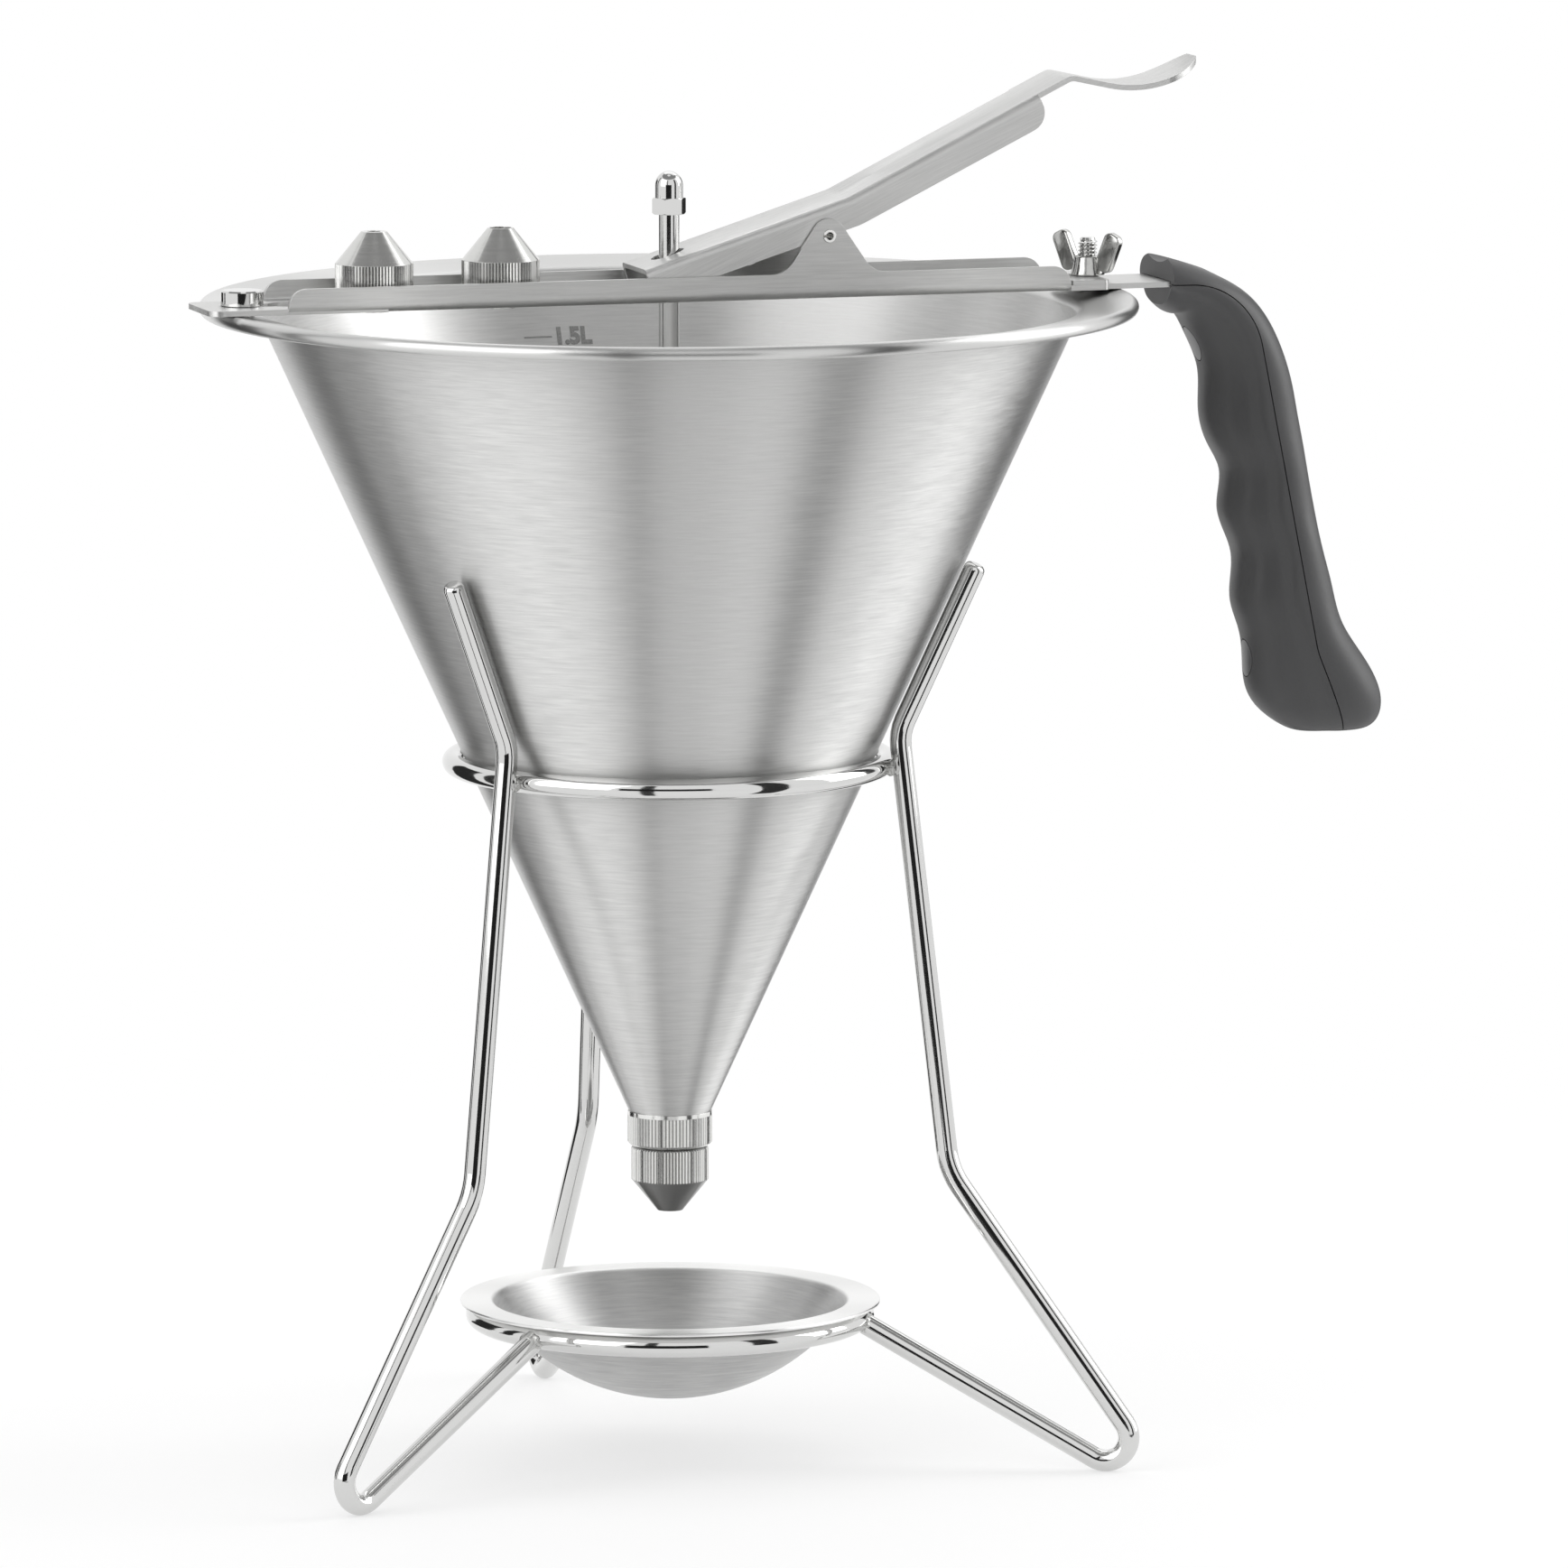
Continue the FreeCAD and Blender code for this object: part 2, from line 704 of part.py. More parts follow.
def clamp_plate():
    """Doubler under the wing nut, notched round the stud."""
    inner = doubler_inner_width / 2
    start = flange_half_length - doubler_inner_length
    shoulder = flange_half_length + tang_gap * 4
    notch = stud_hole_radius
    return plan_prism([
        (start, -inner, bar_sheet), (shoulder, -inner, 0), (shoulder, -half_bar, 0),
        (tail_end, -half_bar, bar_sheet), (tail_end, -notch, 0), (stud_x, -notch, 0),
        (stud_x - notch, -notch, notch * 0.99), (stud_x - notch, notch, notch * 0.99),
        (stud_x, notch, 0), (tail_end, notch, 0), (tail_end, half_bar, bar_sheet),
        (shoulder, half_bar, 0), (shoulder, inner, 0), (start, inner, bar_sheet),
    ], web_top, doubler_top)


def fitted_foot(stud):
    """A stud cut to the sloping flange that it is welded on."""
    return max(stud.cut(cone).Solids, key=lambda solid: solid.Volume)


def button_stud():
    foot = flange_top(button_x) - stud_foot_sink
    under_head = web_top + button_lift
    neck = cylinder(button_neck_radius, under_head - foot, Vector(-button_x, 0, foot))
    head = cylinder(button_head_radius, button_head_height, Vector(-button_x, 0, under_head))
    crown = [edge for edge in head.Edges if edge.BoundBox.ZMin > under_head + button_head_height / 2]
    head = head.makeChamfer(button_chamfer, crown)
    return fitted_foot(neck.fuse(head))


def threaded_stud():
    foot = flange_top(stud_x) - stud_foot_sink
    top = bar_bottom + stud_height_over_bar
    shaft = cylinder(stud_radius, top - foot, Vector(stud_x, 0, foot))
    tip = [edge for edge in shaft.Edges if edge.BoundBox.ZMin > bar_bottom]
    shaft = shaft.makeChamfer(nozzle_chamfer, tip)
    collar = cylinder(stud_collar_radius, bar_bottom - foot, Vector(stud_x, 0, foot))
    return fitted_foot(shaft.fuse(collar))


def wing(side):
    """One wing: a rounded plate that leans out from the hub."""
    base = wing_nut_top_radius * 0.3
    tip = wing_span / 2
    root = tip - wing_height * tan(wing_lean)
    face = rounded_face([
        (base, wing_foot, 0), (root, wing_foot, wing_foot), (tip, wing_height - wing_corner / 2, wing_corner),
        (tip - wing_width, wing_height, wing_corner), (base * 2.5, wing_nut_hub - wing_foot, wing_foot),
    ], side_plane)
    face.translate(Vector(0, -wing_thickness / 2, 0))
    plate = face.extrude(Vector(0, wing_thickness, 0))
    if side < 0:
        plate.rotate(origin, up, 180)
    return plate


def wing_nut():
    hub = Part.makeCone(wing_nut_radius, wing_nut_top_radius, wing_nut_hub)
    body = hub.fuse([wing(1), wing(-1)]).removeSplitter()
    body = body.cut(cylinder(stud_radius + turn_gap, wing_height * 2, Vector(0, 0, -1)))
    body.rotate(origin, up, wing_turn)
    body.translate(Vector(stud_x, 0, doubler_top + wing_nut_lift))
    return body


def pivot_pin():
    """Slotted spring pin through both ears."""
    half = half_bar + pin_proud
    base = Vector(pivot[0], -half, pivot[1])
    body = cylinder(pin_radius, half * 2, base, across)
    body = body.cut(cylinder(pin_radius - pin_wall, half * 2, base, across))
    slot = Part.makeBox(pin_diameter, half * 2, pin_slot, Vector(pivot[0] - pin_diameter, -half, pivot[1] - pin_slot / 2))
    return body.cut(slot)


def along(start, heading, distance):
    return start[0] + heading[0] * distance, start[1] + heading[1] * distance


def lever_points():
    """Upper face of the lever's plate: left end, crank, thumb bend, and the tab's curve."""
    left = along(arm_foot, left_dir, -left_arm_length)
    crank = along(arm_foot, left_dir, crank_distance)
    thumb = along(crank, right_dir, right_arm_length)
    half_turn = (tab_drop_angle + tab_rise_angle) / 2
    reach = tab_curve * tan(half_turn)
    dip = along(thumb, (cos(tab_drop_angle), -sin(tab_drop_angle)), tab_lead + reach)
    tip = along(dip, (cos(tab_rise_angle), sin(tab_rise_angle)), reach)
    return left, crank, thumb, dip, tip


def lever_channel():
    """Folded channel, open side down, along both arms to where its flanges end."""
    left, crank, thumb, dip, tip = lever_points()
    flange_end = along(crank, right_dir, channel_length)
    path = Part.Wire(rounded_edges([(*left, 0), (*crank, crank_bend), (*flange_end, 0)], side_plane, False))
    inner = half_lever - lever_sheet
    normal = (-left_dir[1], left_dir[0])

    def place(y, depth):
        return Vector(left[0] - normal[0] * depth, y, left[1] - normal[1] * depth)

    section = Part.Wire(rounded_edges([
        (-half_lever, lever_depth, 0), (-half_lever, 0, lever_bend), (half_lever, 0, lever_bend),
        (half_lever, lever_depth, 0), (inner, lever_depth, 0), (inner, lever_sheet, lever_bend - lever_sheet),
        (-inner, lever_sheet, lever_bend - lever_sheet), (-inner, lever_depth, 0),
    ], place, True))
    channel = path.makePipeShell([section], True, False)
    floor = web_top + lever_stop_gap
    top_normal = (-right_dir[1], right_dir[0])
    end_low = along(flange_end, top_normal, -lever_depth)
    far_low = crossing(end_low, right_dir, along(left, normal, -lever_depth), left_dir)
    over = lever_depth
    outline = [
        (left[0] - over, left[1] + over, 0), (left[0] - over, floor, 0),
        (*crossing((0, floor), (1, 0), far_low, left_dir), 0),
        (*far_low, 0), (*end_low, lever_end_corner),
        (*along(flange_end, top_normal, -lever_sheet), 0), (*along(flange_end, top_normal, over), 0),
        (*along(crank, top_normal, over), 0),
    ]
    return channel.common(side_prism(outline, -half_lever, half_lever))


def thumb_tab():
    """Plate past the flanges, bent at the thumb and curved up to a round tip."""
    left, crank, thumb, dip, tip = lever_points()
    start = along(crank, right_dir, channel_length - lever_sheet)
    half = lever_sheet / 2

    def sunk(point, heading):
        return point[0] + heading[1] * half, point[1] - heading[0] * half

    middle = [
        (*sunk(start, right_dir), 0), (*sunk(thumb, right_dir), tab_bend), (*sunk(dip, (1, 0)), tab_curve),
        (*sunk(tip, (cos(tab_rise_angle), sin(tab_rise_angle))), 0),
    ]
    half_tab = tab_width / 2
    plate = side_prism(sheet_outline(middle, lever_sheet), -half_tab, half_tab)
    end = tip[0] + half
    view = [
        (start[0] - lever_sheet, -half_tab, 0), (end, -half_tab, half_tab * 0.98),
        (end, half_tab, half_tab * 0.98), (start[0] - lever_sheet, half_tab, 0),
    ]
    return plate.common(plan_prism(view, bar_bottom, tip[1] + lever_depth))


def lever():
    shape = lever_channel().fuse(thumb_tab())
    inner = half_lever - lever_sheet
    for low in (-half_lever, inner):
        lobe = cylinder(lobe_radius, lever_sheet, Vector(pivot[0], low, pivot[1]), across)
        shape = shape.fuse(lobe)
    half_slot = rod_slot_width / 2
    left = -rod_slot_length / 2 - rod_slot_shift
    right = left + rod_slot_length
    slot = plan_prism([
        (left, -half_slot, half_slot * 0.98), (right, -half_slot, half_slot * 0.98),
        (right, half_slot, half_slot * 0.98), (left, half_slot, half_slot * 0.98),
    ], bar_bottom, nut_bottom)
    bore = cylinder(pin_radius + turn_gap, bar_width * 2, Vector(pivot[0], -bar_width, pivot[1]), across)
    return shape.cut(slot).cut(bore)


def biarc(start, start_dir, end, end_dir):
    """Two arcs that join two points with the given directions."""
    chord = end - start
    total = start_dir + end_dir
    lead = chord.dot(total)
    spread = 2 * (1 - start_dir.dot(end_dir))
    reach = (-lead + math.sqrt(lead ** 2 + spread * chord.dot(chord))) / spread
    first = start + start_dir * reach
    second = end - end_dir * reach
    joint = (first + second) * 0.5
    arcs = []
    for low, control, high in ((start, first, joint), (joint, second, end)):
        middle = (low + high) * 0.5
        half_cos = (control - low).normalize().dot((high - low).normalize())
        arcs.append(Part.Arc(low, middle + (control - middle) * (half_cos / (1 + half_cos)), high).toShape())
    return arcs


def torsion_spring():
    """Coil round the pin, its long leg down on the bar's web, its short leg under the lever's right arm."""
    coil = pin_radius + spring_pin_gap + spring_wire / 2
    rise = spring_pitch / 360
    drop = pivot[1] - web_top - spring_wire / 2 - spring_web_gap
    slant = math.asin(drop / math.hypot(spring_web_leg, coil)) - math.atan2(coil, spring_web_leg)
    first = 270 - math.degrees(slant)
    last = 90 + right_arm_angle - spring_lever_lean - 360 * spring_turns
    middle = (first + last) / 2

    def spot(angle):
        return Vector(pivot[0] + coil * cos(angle), (middle - angle) * rise, pivot[1] + coil * sin(angle))

    def heading(angle):
        step = Vector(coil * sin(angle), rise * 180 / math.pi, -coil * cos(angle))
        return step.normalize()

    steps = spring_turns * 4
    angles = [first + (last - first) * index / steps for index in range(steps + 1)]
    edges = [Part.LineSegment(spot(first) - heading(first) * spring_web_leg, spot(first)).toShape()]
    for low, high in zip(angles, angles[1:]):
        edges += biarc(spot(low), heading(low), spot(high), heading(high))
    edges.append(Part.LineSegment(spot(last), spot(last) + heading(last) * spring_lever_leg).toShape())
    points = [edge.valueAt(edge.FirstParameter + (edge.LastParameter - edge.FirstParameter) * k / 12)
              for edge in edges for k in range(12)]
    apart = [
        first_point.distanceToPoint(other) for index, first_point in enumerate(points)
        for other in points[index + 60:]
    ]
    print("spring: least gap to itself", round(min(apart) - spring_wire, 2), "mm")
    return swept(edges, spring_wire / 2)


def seat_radius(depth):
    """Inner radius of the mounted nozzle's seat at a depth below its top."""
    seat_end = nozzle_height - nozzle_land
    share = (depth - nozzle_thread_depth) / (seat_end - nozzle_thread_depth)
    return nozzle_seat_radius + (orifice_mounted - nozzle_seat_radius) * share


def valve_tip():
    high = nozzle_top - plug_high
    low = nozzle_top - plug_low
    widest = min(seat_radius(plug_high) - plug_gap, collar_bore_radius - plug_bore_gap)
    neck = high + plug_shoulder + plug_neck
    body = spun([
        (0, low, 0), (seat_radius(plug_low) - plug_gap, low, 0), (widest, high, 0),
        (widest, high + plug_shoulder, 0), (rod_radius, neck, 0), (0, neck, 0),
    ])
    return body.cut(cylinder(rod_spigot_radius + pin_fit, rod_spigot_length * 2, Vector(0, 0, neck - rod_spigot_length)))


def valve_rod():
    low = nozzle_top - plug_high + plug_shoulder + plug_neck
    rod = cylinder(rod_radius, nut_bottom - low, Vector(0, 0, low))
    spigot = cylinder(rod_spigot_radius, rod_spigot_length - pin_fit, Vector(0, 0, low - rod_spigot_length + pin_fit))
    thread = cylinder(rod_thread_radius, rod_thread_length, Vector(0, 0, nut_bottom))
    return rod.fuse([spigot, thread])


def acorn_nut():
    across_corners = nut_flats / cos(30)
    hexagon = plan_prism(
        [(across_corners / 2 * cos(60 * k), across_corners / 2 * sin(60 * k), 0) for k in range(6)],
        nut_bottom, nut_bottom + nut_hex_height,
    )
    half_corner = across_corners / 2
    edge_drop = (half_corner - nut_flats / 2) * tan(30)
    turned_blank = spun([
        (0, nut_bottom, 0), (nut_flats / 2, nut_bottom, 0), (half_corner, nut_bottom + edge_drop, 0),
        (half_corner, nut_bottom + nut_hex_height - edge_drop, 0),
        (nut_flats / 2, nut_bottom + nut_hex_height, 0), (0, nut_bottom + nut_hex_height, 0),
    ])
    dome_base = nut_bottom + nut_height - nut_dome_radius
    dome = cylinder(nut_dome_radius, dome_base - nut_bottom - nut_hex_height / 2, Vector(0, 0, nut_bottom + nut_hex_height / 2))
    cap = Part.makeSphere(nut_dome_radius, Vector(0, 0, dome_base), up, 0, 90, 360)
    body = hexagon.common(turned_blank).fuse([dome, cap])
    return body.cut(cylinder(rod_thread_radius + pin_fit, rod_thread_length + pin_fit, Vector(0, 0, nut_bottom)))


# Handle sections from the front face round the bend, over four finger grooves, to the butt. Each is the finger side's
# point and the back's point, as shares of the handle's length behind its front and below the tang, and a share of the
# half-width.
handle_sections = (
    (0.000, 0.051, 0.003, -0.058, 0.969),
    (0.043, 0.072, 0.098, -0.027, 1.000),
    (0.075, 0.123, 0.205, 0.037, 1.000),
    (0.102, 0.189, 0.265, 0.127, 1.000),
    (0.106, 0.241, 0.296, 0.215, 1.000),
    (0.107, 0.303, 0.312, 0.293, 1.000),
    (0.128, 0.367, 0.325, 0.359, 1.000),
    (0.155, 0.423, 0.335, 0.417, 1.000),
    (0.150, 0.508, 0.350, 0.494, 1.000),
    (0.183, 0.609, 0.370, 0.586, 1.000),
    (0.180, 0.705, 0.393, 0.670, 1.000),
    (0.203, 0.786, 0.417, 0.755, 1.000),
    (0.210, 0.876, 0.471, 0.840, 0.985),
    (0.235, 0.942, 0.511, 0.923, 0.923),
    (0.287, 0.985, 0.503, 0.980, 0.738),
    (0.342, 1.000, 0.464, 0.999, 0.400),
)
# Shape of every section: share of the depth from the finger side, share of the half-width, from the back round
section_shape = (
    (1.0, 0.0), (0.94, 0.62), (0.8, 0.9), (0.62, 1.0), (0.5, 0.98), (0.38, 0.84), (0.22, 0.72), (0.05, 0.44), (0.0, 0.0)
)


def section_wire(finger, finger_drop, back, back_drop, width_share):
    def spot(share, width):
        run = (finger + (back - finger) * share) * handle_length
        drop = (finger_drop + (back_drop - finger_drop) * share) * handle_length
        return Vector(path_start_x + run, width * width_share * handle_half_width, tang_middle - drop)

    near = [spot(share, -width) for share, width in section_shape]
    far = [spot(share, width) for share, width in section_shape[-2:0:-1]]
    curve = Part.BSplineCurve()
    curve.interpolate(Points=near + far, PeriodicFlag=True)
    return Part.Wire(curve.toShape())


def scallop():
    """Shallow groove for the thumb, from the front face back along the top."""
    radius = (scallop_half_width ** 2 + scallop_depth ** 2) / (2 * scallop_depth)
    front_top = tang_middle - handle_sections[0][3] * handle_length
    heading = Vector(cos(scallop_slope), 0, -sin(scallop_slope))
    start = Vector(path_start_x, 0, front_top - scallop_depth + radius / cos(scallop_slope)) - heading * radius
    return cylinder(radius, radius + handle_length / 3, start, heading)


def handle_body():
    wires = [section_wire(*section) for section in handle_sections]
    return Part.makeLoft(wires, True, False).cut(scallop())


def split_side(side):
    """Everything on the back (1) or finger (-1) side of the parting surface."""
    points = sheet_outline(handle_path(path_foot_height), shell_gap)
    count = len(points) // 2
    line = points[:count] if side > 0 else points[count:][::-1]
    start, end = line[0], line[-1]
    front = start[0] - path_lead
    far = end[0] + handle_length
    over = start[1] + handle_length
    if side > 0:
        around = [(far, end[1], 0), (far, over, 0), (front, over, 0)]
    else:
        around = [(end[0], end[1] - path_lead, 0), (front, end[1] - path_lead, 0)]
    lead = [(front, start[1], 0)]
    return side_prism(lead + list(line) + around, -handle_half_width * 2, handle_half_width * 2)


def upper_screw():
    """Axis of the upper screw: a point on the parting surface, and the way the screw goes in."""
    heading = (cos(upper_screw_angle), sin(upper_screw_angle))
    return along(path_centre, heading, path_bend), heading


def lower_screw():
    points = handle_path(path_foot_height)
    knee, foot = points[2], points[3]
    height = tang_middle - lower_screw_drop
    share = (knee[1] - height) / (knee[1] - foot[1])
    return (knee[0] + (foot[0] - knee[0]) * share, height), (1.0, 0.0)


def screw_shank(axis, radius, behind, beyond):
    """Round bar on a screw's axis, from behind the parting surface to beyond it."""
    (x, z), (dx, dz) = axis
    base = Vector(x - dx * behind, 0, z - dz * behind)
    return cylinder(radius, behind + beyond, base, Vector(dx, 0, dz))


def depth_along(axis, side):
    """How far the surface lies from the parting surface along a screw, on the finger (-1) or back (1) side."""
    (x, z), (dx, dz) = axis
    reach = side * handle_length / 2
    probe = Part.LineSegment(Vector(x, 0, z), Vector(x + dx * reach, 0, z + dz * reach)).toShape()
    return whole_handle.common(probe).Length


def screw_reach(axis):
    return min(screw_longest_reach, depth_along(axis, 1) - screw_end_wall)


def oval(axis, half_length, half_width, near, far):
    """Oval prism on a screw's axis, long way up the handle."""
    (x, z), (dx, dz) = axis
    outline = Part.Ellipse(origin, half_length, half_width).toShape()
    shape = Part.Face(Part.Wire(outline)).extrude(Vector(0, 0, far - near))
    shape.translate(Vector(0, 0, near))
    shape.rotate(origin, across, math.degrees(math.atan2(-dx, -dz)))
    shape.translate(Vector(x, 0, z))
    return shape


def screw_cuts(axis):
    depth = depth_along(axis, -1)
    seat = screw_depth_in_grip + screw_head_height
    pocket = screw_shank(axis, screw_head_radius + screw_gap * 2, seat, -screw_depth_in_grip)
    mouth = oval(axis, plug_half_length, plug_half_width, seat + screw_gap, depth + plug_thickness)
    return [screw_shank(axis, screw_radius + screw_gap, seat, screw_reach(axis) + screw_gap), pocket, mouth]


def handle_shell(side):
    shape = whole_handle.common(split_side(side))
    gap = tang_gap * 2
    cuts = [bent_tang(tang_inner_width + gap, bar_sheet + gap, tang_straight_end - tang_gap)]
    half = tang_width / 2 + tang_gap
    corner = Vector(path_start_x - tang_gap, -half, bar_bottom - tang_gap)
    cuts.append(Part.makeBox(bar_sheet + gap, half * 2, bar_sheet + gap, corner))
    for axis in (upper_screw(), lower_screw()):
        cuts += screw_cuts(axis)
    for tool in cuts:
        shape = shape.cut(tool)
    return max(shape.Solids, key=lambda solid: solid.Volume)


def handle_screws():
    screws = []
    head_top = screw_depth_in_grip + screw_head_height - screw_gap
    for axis in (upper_screw(), lower_screw()):
        shank = screw_shank(axis, screw_radius, screw_depth_in_grip, screw_reach(axis))
        head = screw_shank(axis, screw_head_radius, head_top, -screw_depth_in_grip)
        screws.append(shank.fuse(head).removeSplitter())
    return Part.makeCompound(screws)


def handle_plugs():
    plugs = []
    half_length = plug_half_length - plug_side_gap
    half_width = plug_half_width - plug_side_gap
    for axis in (upper_screw(), lower_screw()):
        depth = depth_along(axis, -1)
        blank = oval(axis, half_length, half_width, depth - plug_thickness, depth + plug_thickness)
        plug = blank.common(whole_handle)
        plugs.append(max(plug.Solids, key=lambda solid: solid.Volume))
    return Part.makeCompound(plugs)


os.makedirs("parts", exist_ok=True)
upper_ring = ring(upper_ring_radius, upper_ring_height)
lower_ring = ring(lower_ring_radius, lower_ring_height)
plain_leg = leg()
legs = [turned(plain_leg, right_leg_angle + index * 360 / leg_count) for index in range(leg_count)]
cone = funnel_cone()
whole_handle = handle_body()

pieces = [("upper_ring", upper_ring), ("lower_ring", lower_ring)]
pieces += list(zip(("leg_front_right", "leg_back", "leg_front_left"), legs))
pieces += [
    ("weld_beads", weld_beads(legs)),
    ("drip_bowl", drip_bowl()),
    ("funnel_cone", cone),
    ("outlet_collar", outlet_collar()),
    ("nozzle", mounted_nozzle()),
    ("spare_nozzle_small", stored_nozzle(orifice_small, peg_far_x)),
    ("spare_nozzle_large", stored_nozzle(orifice_large, peg_near_x)),
    ("nozzle_pegs", nozzle_pegs()),
    ("cross_bar", cross_bar()),
    ("clamp_plate", clamp_plate()),
    ("button_stud", button_stud()),
    ("threaded_stud", threaded_stud()),
    ("wing_nut", wing_nut()),
    ("pivot_pin", pivot_pin()),
    ("lever", lever()),
    ("torsion_spring", torsion_spring()),
    ("valve_tip", valve_tip()),
    ("valve_rod", valve_rod()),
    ("acorn_nut", acorn_nut()),
    ("handle_grip_shell", handle_shell(-1)),
    ("handle_back_shell", handle_shell(1)),
    ("handle_screws", handle_screws()),
    ("handle_plugs", handle_plugs()),
]
for name, shape in pieces:
    exported(name, shape)
print("apex", round(apex_height, 2), "rim top", round(rim_top, 2), "collar", round(collar_bottom, 2), round(collar_top, 2))
print("pivot", pivot, "nut bottom", round(nut_bottom, 2), "lever at rod", round(rod_lever_height, 2))
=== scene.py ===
import math

import bmesh
import bpy
from mathutils import Matrix, Vector, noise


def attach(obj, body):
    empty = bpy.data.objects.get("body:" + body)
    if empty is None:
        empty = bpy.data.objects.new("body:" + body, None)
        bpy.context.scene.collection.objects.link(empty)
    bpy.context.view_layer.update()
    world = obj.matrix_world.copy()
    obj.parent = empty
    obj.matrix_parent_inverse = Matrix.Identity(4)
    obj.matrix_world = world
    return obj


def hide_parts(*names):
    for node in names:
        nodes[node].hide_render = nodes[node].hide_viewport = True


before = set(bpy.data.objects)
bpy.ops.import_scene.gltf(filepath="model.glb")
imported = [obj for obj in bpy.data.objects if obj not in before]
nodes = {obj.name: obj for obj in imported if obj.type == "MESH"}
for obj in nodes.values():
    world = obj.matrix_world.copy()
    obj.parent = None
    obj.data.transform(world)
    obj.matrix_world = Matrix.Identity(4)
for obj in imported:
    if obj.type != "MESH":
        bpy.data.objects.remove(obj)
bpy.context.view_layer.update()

print("frame loaded,", len(nodes), "CAD nodes")

noiseRange = {"From_Min": 0.3, "From_Max": 0.7}  # nearly all of a noise lies between these


def mm(*values):
    return Vector([v / 1000 for v in values])


def linear(hexColour):
    # sRGB hex to the linear values that Blender's sockets take
    parts = [int(hexColour[i:i + 2], 16) / 255 for i in (1, 3, 5)]
    curve = [p / 12.92 if p <= 0.04045 else ((p + 0.055) / 1.055) ** 2.4 for p in parts]
    return (*curve, 1.0)


def socketOf(value):
    # a node stands for its first output
    return value.outputs[0] if isinstance(value, bpy.types.Node) else value


def addNode(tree, kind, settings=None, **inputs):
    # one node with its settings; each input is a value, a socket or a node, and i3 is input number 3
    node = tree.nodes.new(kind)
    for key, value in (settings or {}).items():
        setattr(node, key, value)
    for key, value in inputs.items():
        numbered = key[0] == "i" and key[1:].isdigit()
        socket = node.inputs[int(key[1:]) if numbered else key.replace("_", " ")]
        value = socketOf(value)
        if isinstance(value, bpy.types.NodeSocket):
            tree.links.new(value, socket)
        else:
            socket.default_value = value
    return node


def newMaterial(name, fixed):
    # constants go straight on the shader's sockets, patterns are linked by plugIn
    material = bpy.data.materials.new(name)
    material.use_nodes = True
    shader = material.node_tree.nodes["Principled BSDF"]
    for key, value in fixed.items():
        shader.inputs[key].default_value = value
    return material, material.node_tree, shader


def plugIn(tree, shader, **links):
    for key, value in links.items():
        tree.links.new(socketOf(value), shader.inputs[key.replace("_", " ")])


def brushLines(tree, place, spacing, length, along):
    # scratches: one noise stretched along the brushing, drawn coarser than real so that they show, in mm
    scale = [1000 / spacing] * 3
    for axis in along:
        scale["XYZ".index(axis)] = 1000 / length
    stretched = addNode(tree, "ShaderNodeMapping", Vector=place, Scale=scale)
    return addNode(tree, "ShaderNodeTexNoise", Vector=stretched, Scale=1.0, Detail=3.0, Roughness=0.6)


def spunSteel(name, buffedFrom, buffedAbove, dark, light, buffedColour):
    # 18/10 stainless sheet, spun on a lathe and belt-brushed round its axis: light smears across the brush
    # lines, up and down the wall; outside buffedFrom and above buffedAbove it is buffed
    look = {"spacing": 0.5, "length": 9, "relief": 0.007, "brushed": (0.4, 0.5), "cloud": 28.57,
            "cloudShare": 0.04, "buffed": 0.32, "sideEdge": 0.4, "lowEdge": 0.2}
    material, tree, shader = newMaterial(name, {"Metallic": 1.0, "Anisotropic": 0.88,
                                                "Anisotropic Rotation": 0.25})
    place = addNode(tree, "ShaderNodeTexCoord").outputs["Object"]
    lines = brushLines(tree, place, look["spacing"], look["length"], "XY")
    clouds = addNode(tree, "ShaderNodeTexNoise", Vector=place, Scale=1000 / look["cloud"], Detail=3.0)
    height = addNode(tree, "ShaderNodeSeparateXYZ", i0=place).outputs[2]
    flat = addNode(tree, "ShaderNodeVectorMath", {"operation": "MULTIPLY"}, i0=place, i1=(1, 1, 0))
    radius = addNode(tree, "ShaderNodeVectorMath", {"operation": "LENGTH"}, i0=flat).outputs["Value"]
    outside = addNode(tree, "ShaderNodeMapRange", Value=radius,
                      From_Min=(buffedFrom - look["sideEdge"]) / 1000,
                      From_Max=(buffedFrom + look["sideEdge"]) / 1000)
    above = addNode(tree, "ShaderNodeMapRange", Value=height,
                    From_Min=(buffedAbove - look["lowEdge"]) / 1000,
                    From_Max=(buffedAbove + look["lowEdge"]) / 1000)
    buffed = addNode(tree, "ShaderNodeMath", {"operation": "MULTIPLY"}, i0=outside, i1=above)
    low, high = look["brushed"]
    brushed = addNode(tree, "ShaderNodeMapRange", Value=lines, To_Min=low, To_Max=high, **noiseRange)
    brushed = addNode(tree, "ShaderNodeMath", {"operation": "MULTIPLY_ADD"}, i0=clouds,
                      i1=look["cloudShare"], i2=brushed)
    rough = addNode(tree, "ShaderNodeMix", Factor=buffed, A=brushed, B=look["buffed"])
    fade = addNode(tree, "ShaderNodeMath", {"operation": "SUBTRACT"}, i0=1.0, i1=buffed)
    bump = addNode(tree, "ShaderNodeBump", Strength=fade, Distance=look["relief"] / 1000, Height=lines)
    tangent = addNode(tree, "ShaderNodeTangent", {"direction_type": "RADIAL", "axis": "Z"})
    tone = addNode(tree, "ShaderNodeMapRange", Value=lines, **noiseRange)
    # the sheet's greys and the buffed band's grey are set for each part: painted light and shade
    sheet = addNode(tree, "ShaderNodeMix", {"data_type": "RGBA"}, i0=tone, i6=linear(dark), i7=linear(light))
    colour = addNode(tree, "ShaderNodeMix", {"data_type": "RGBA"}, i0=buffed, i6=sheet.outputs[2],
                     i7=linear(buffedColour))
    plugIn(tree, shader, Base_Color=colour.outputs[2], Roughness=rough, Normal=bump, Tangent=tangent)
    return material


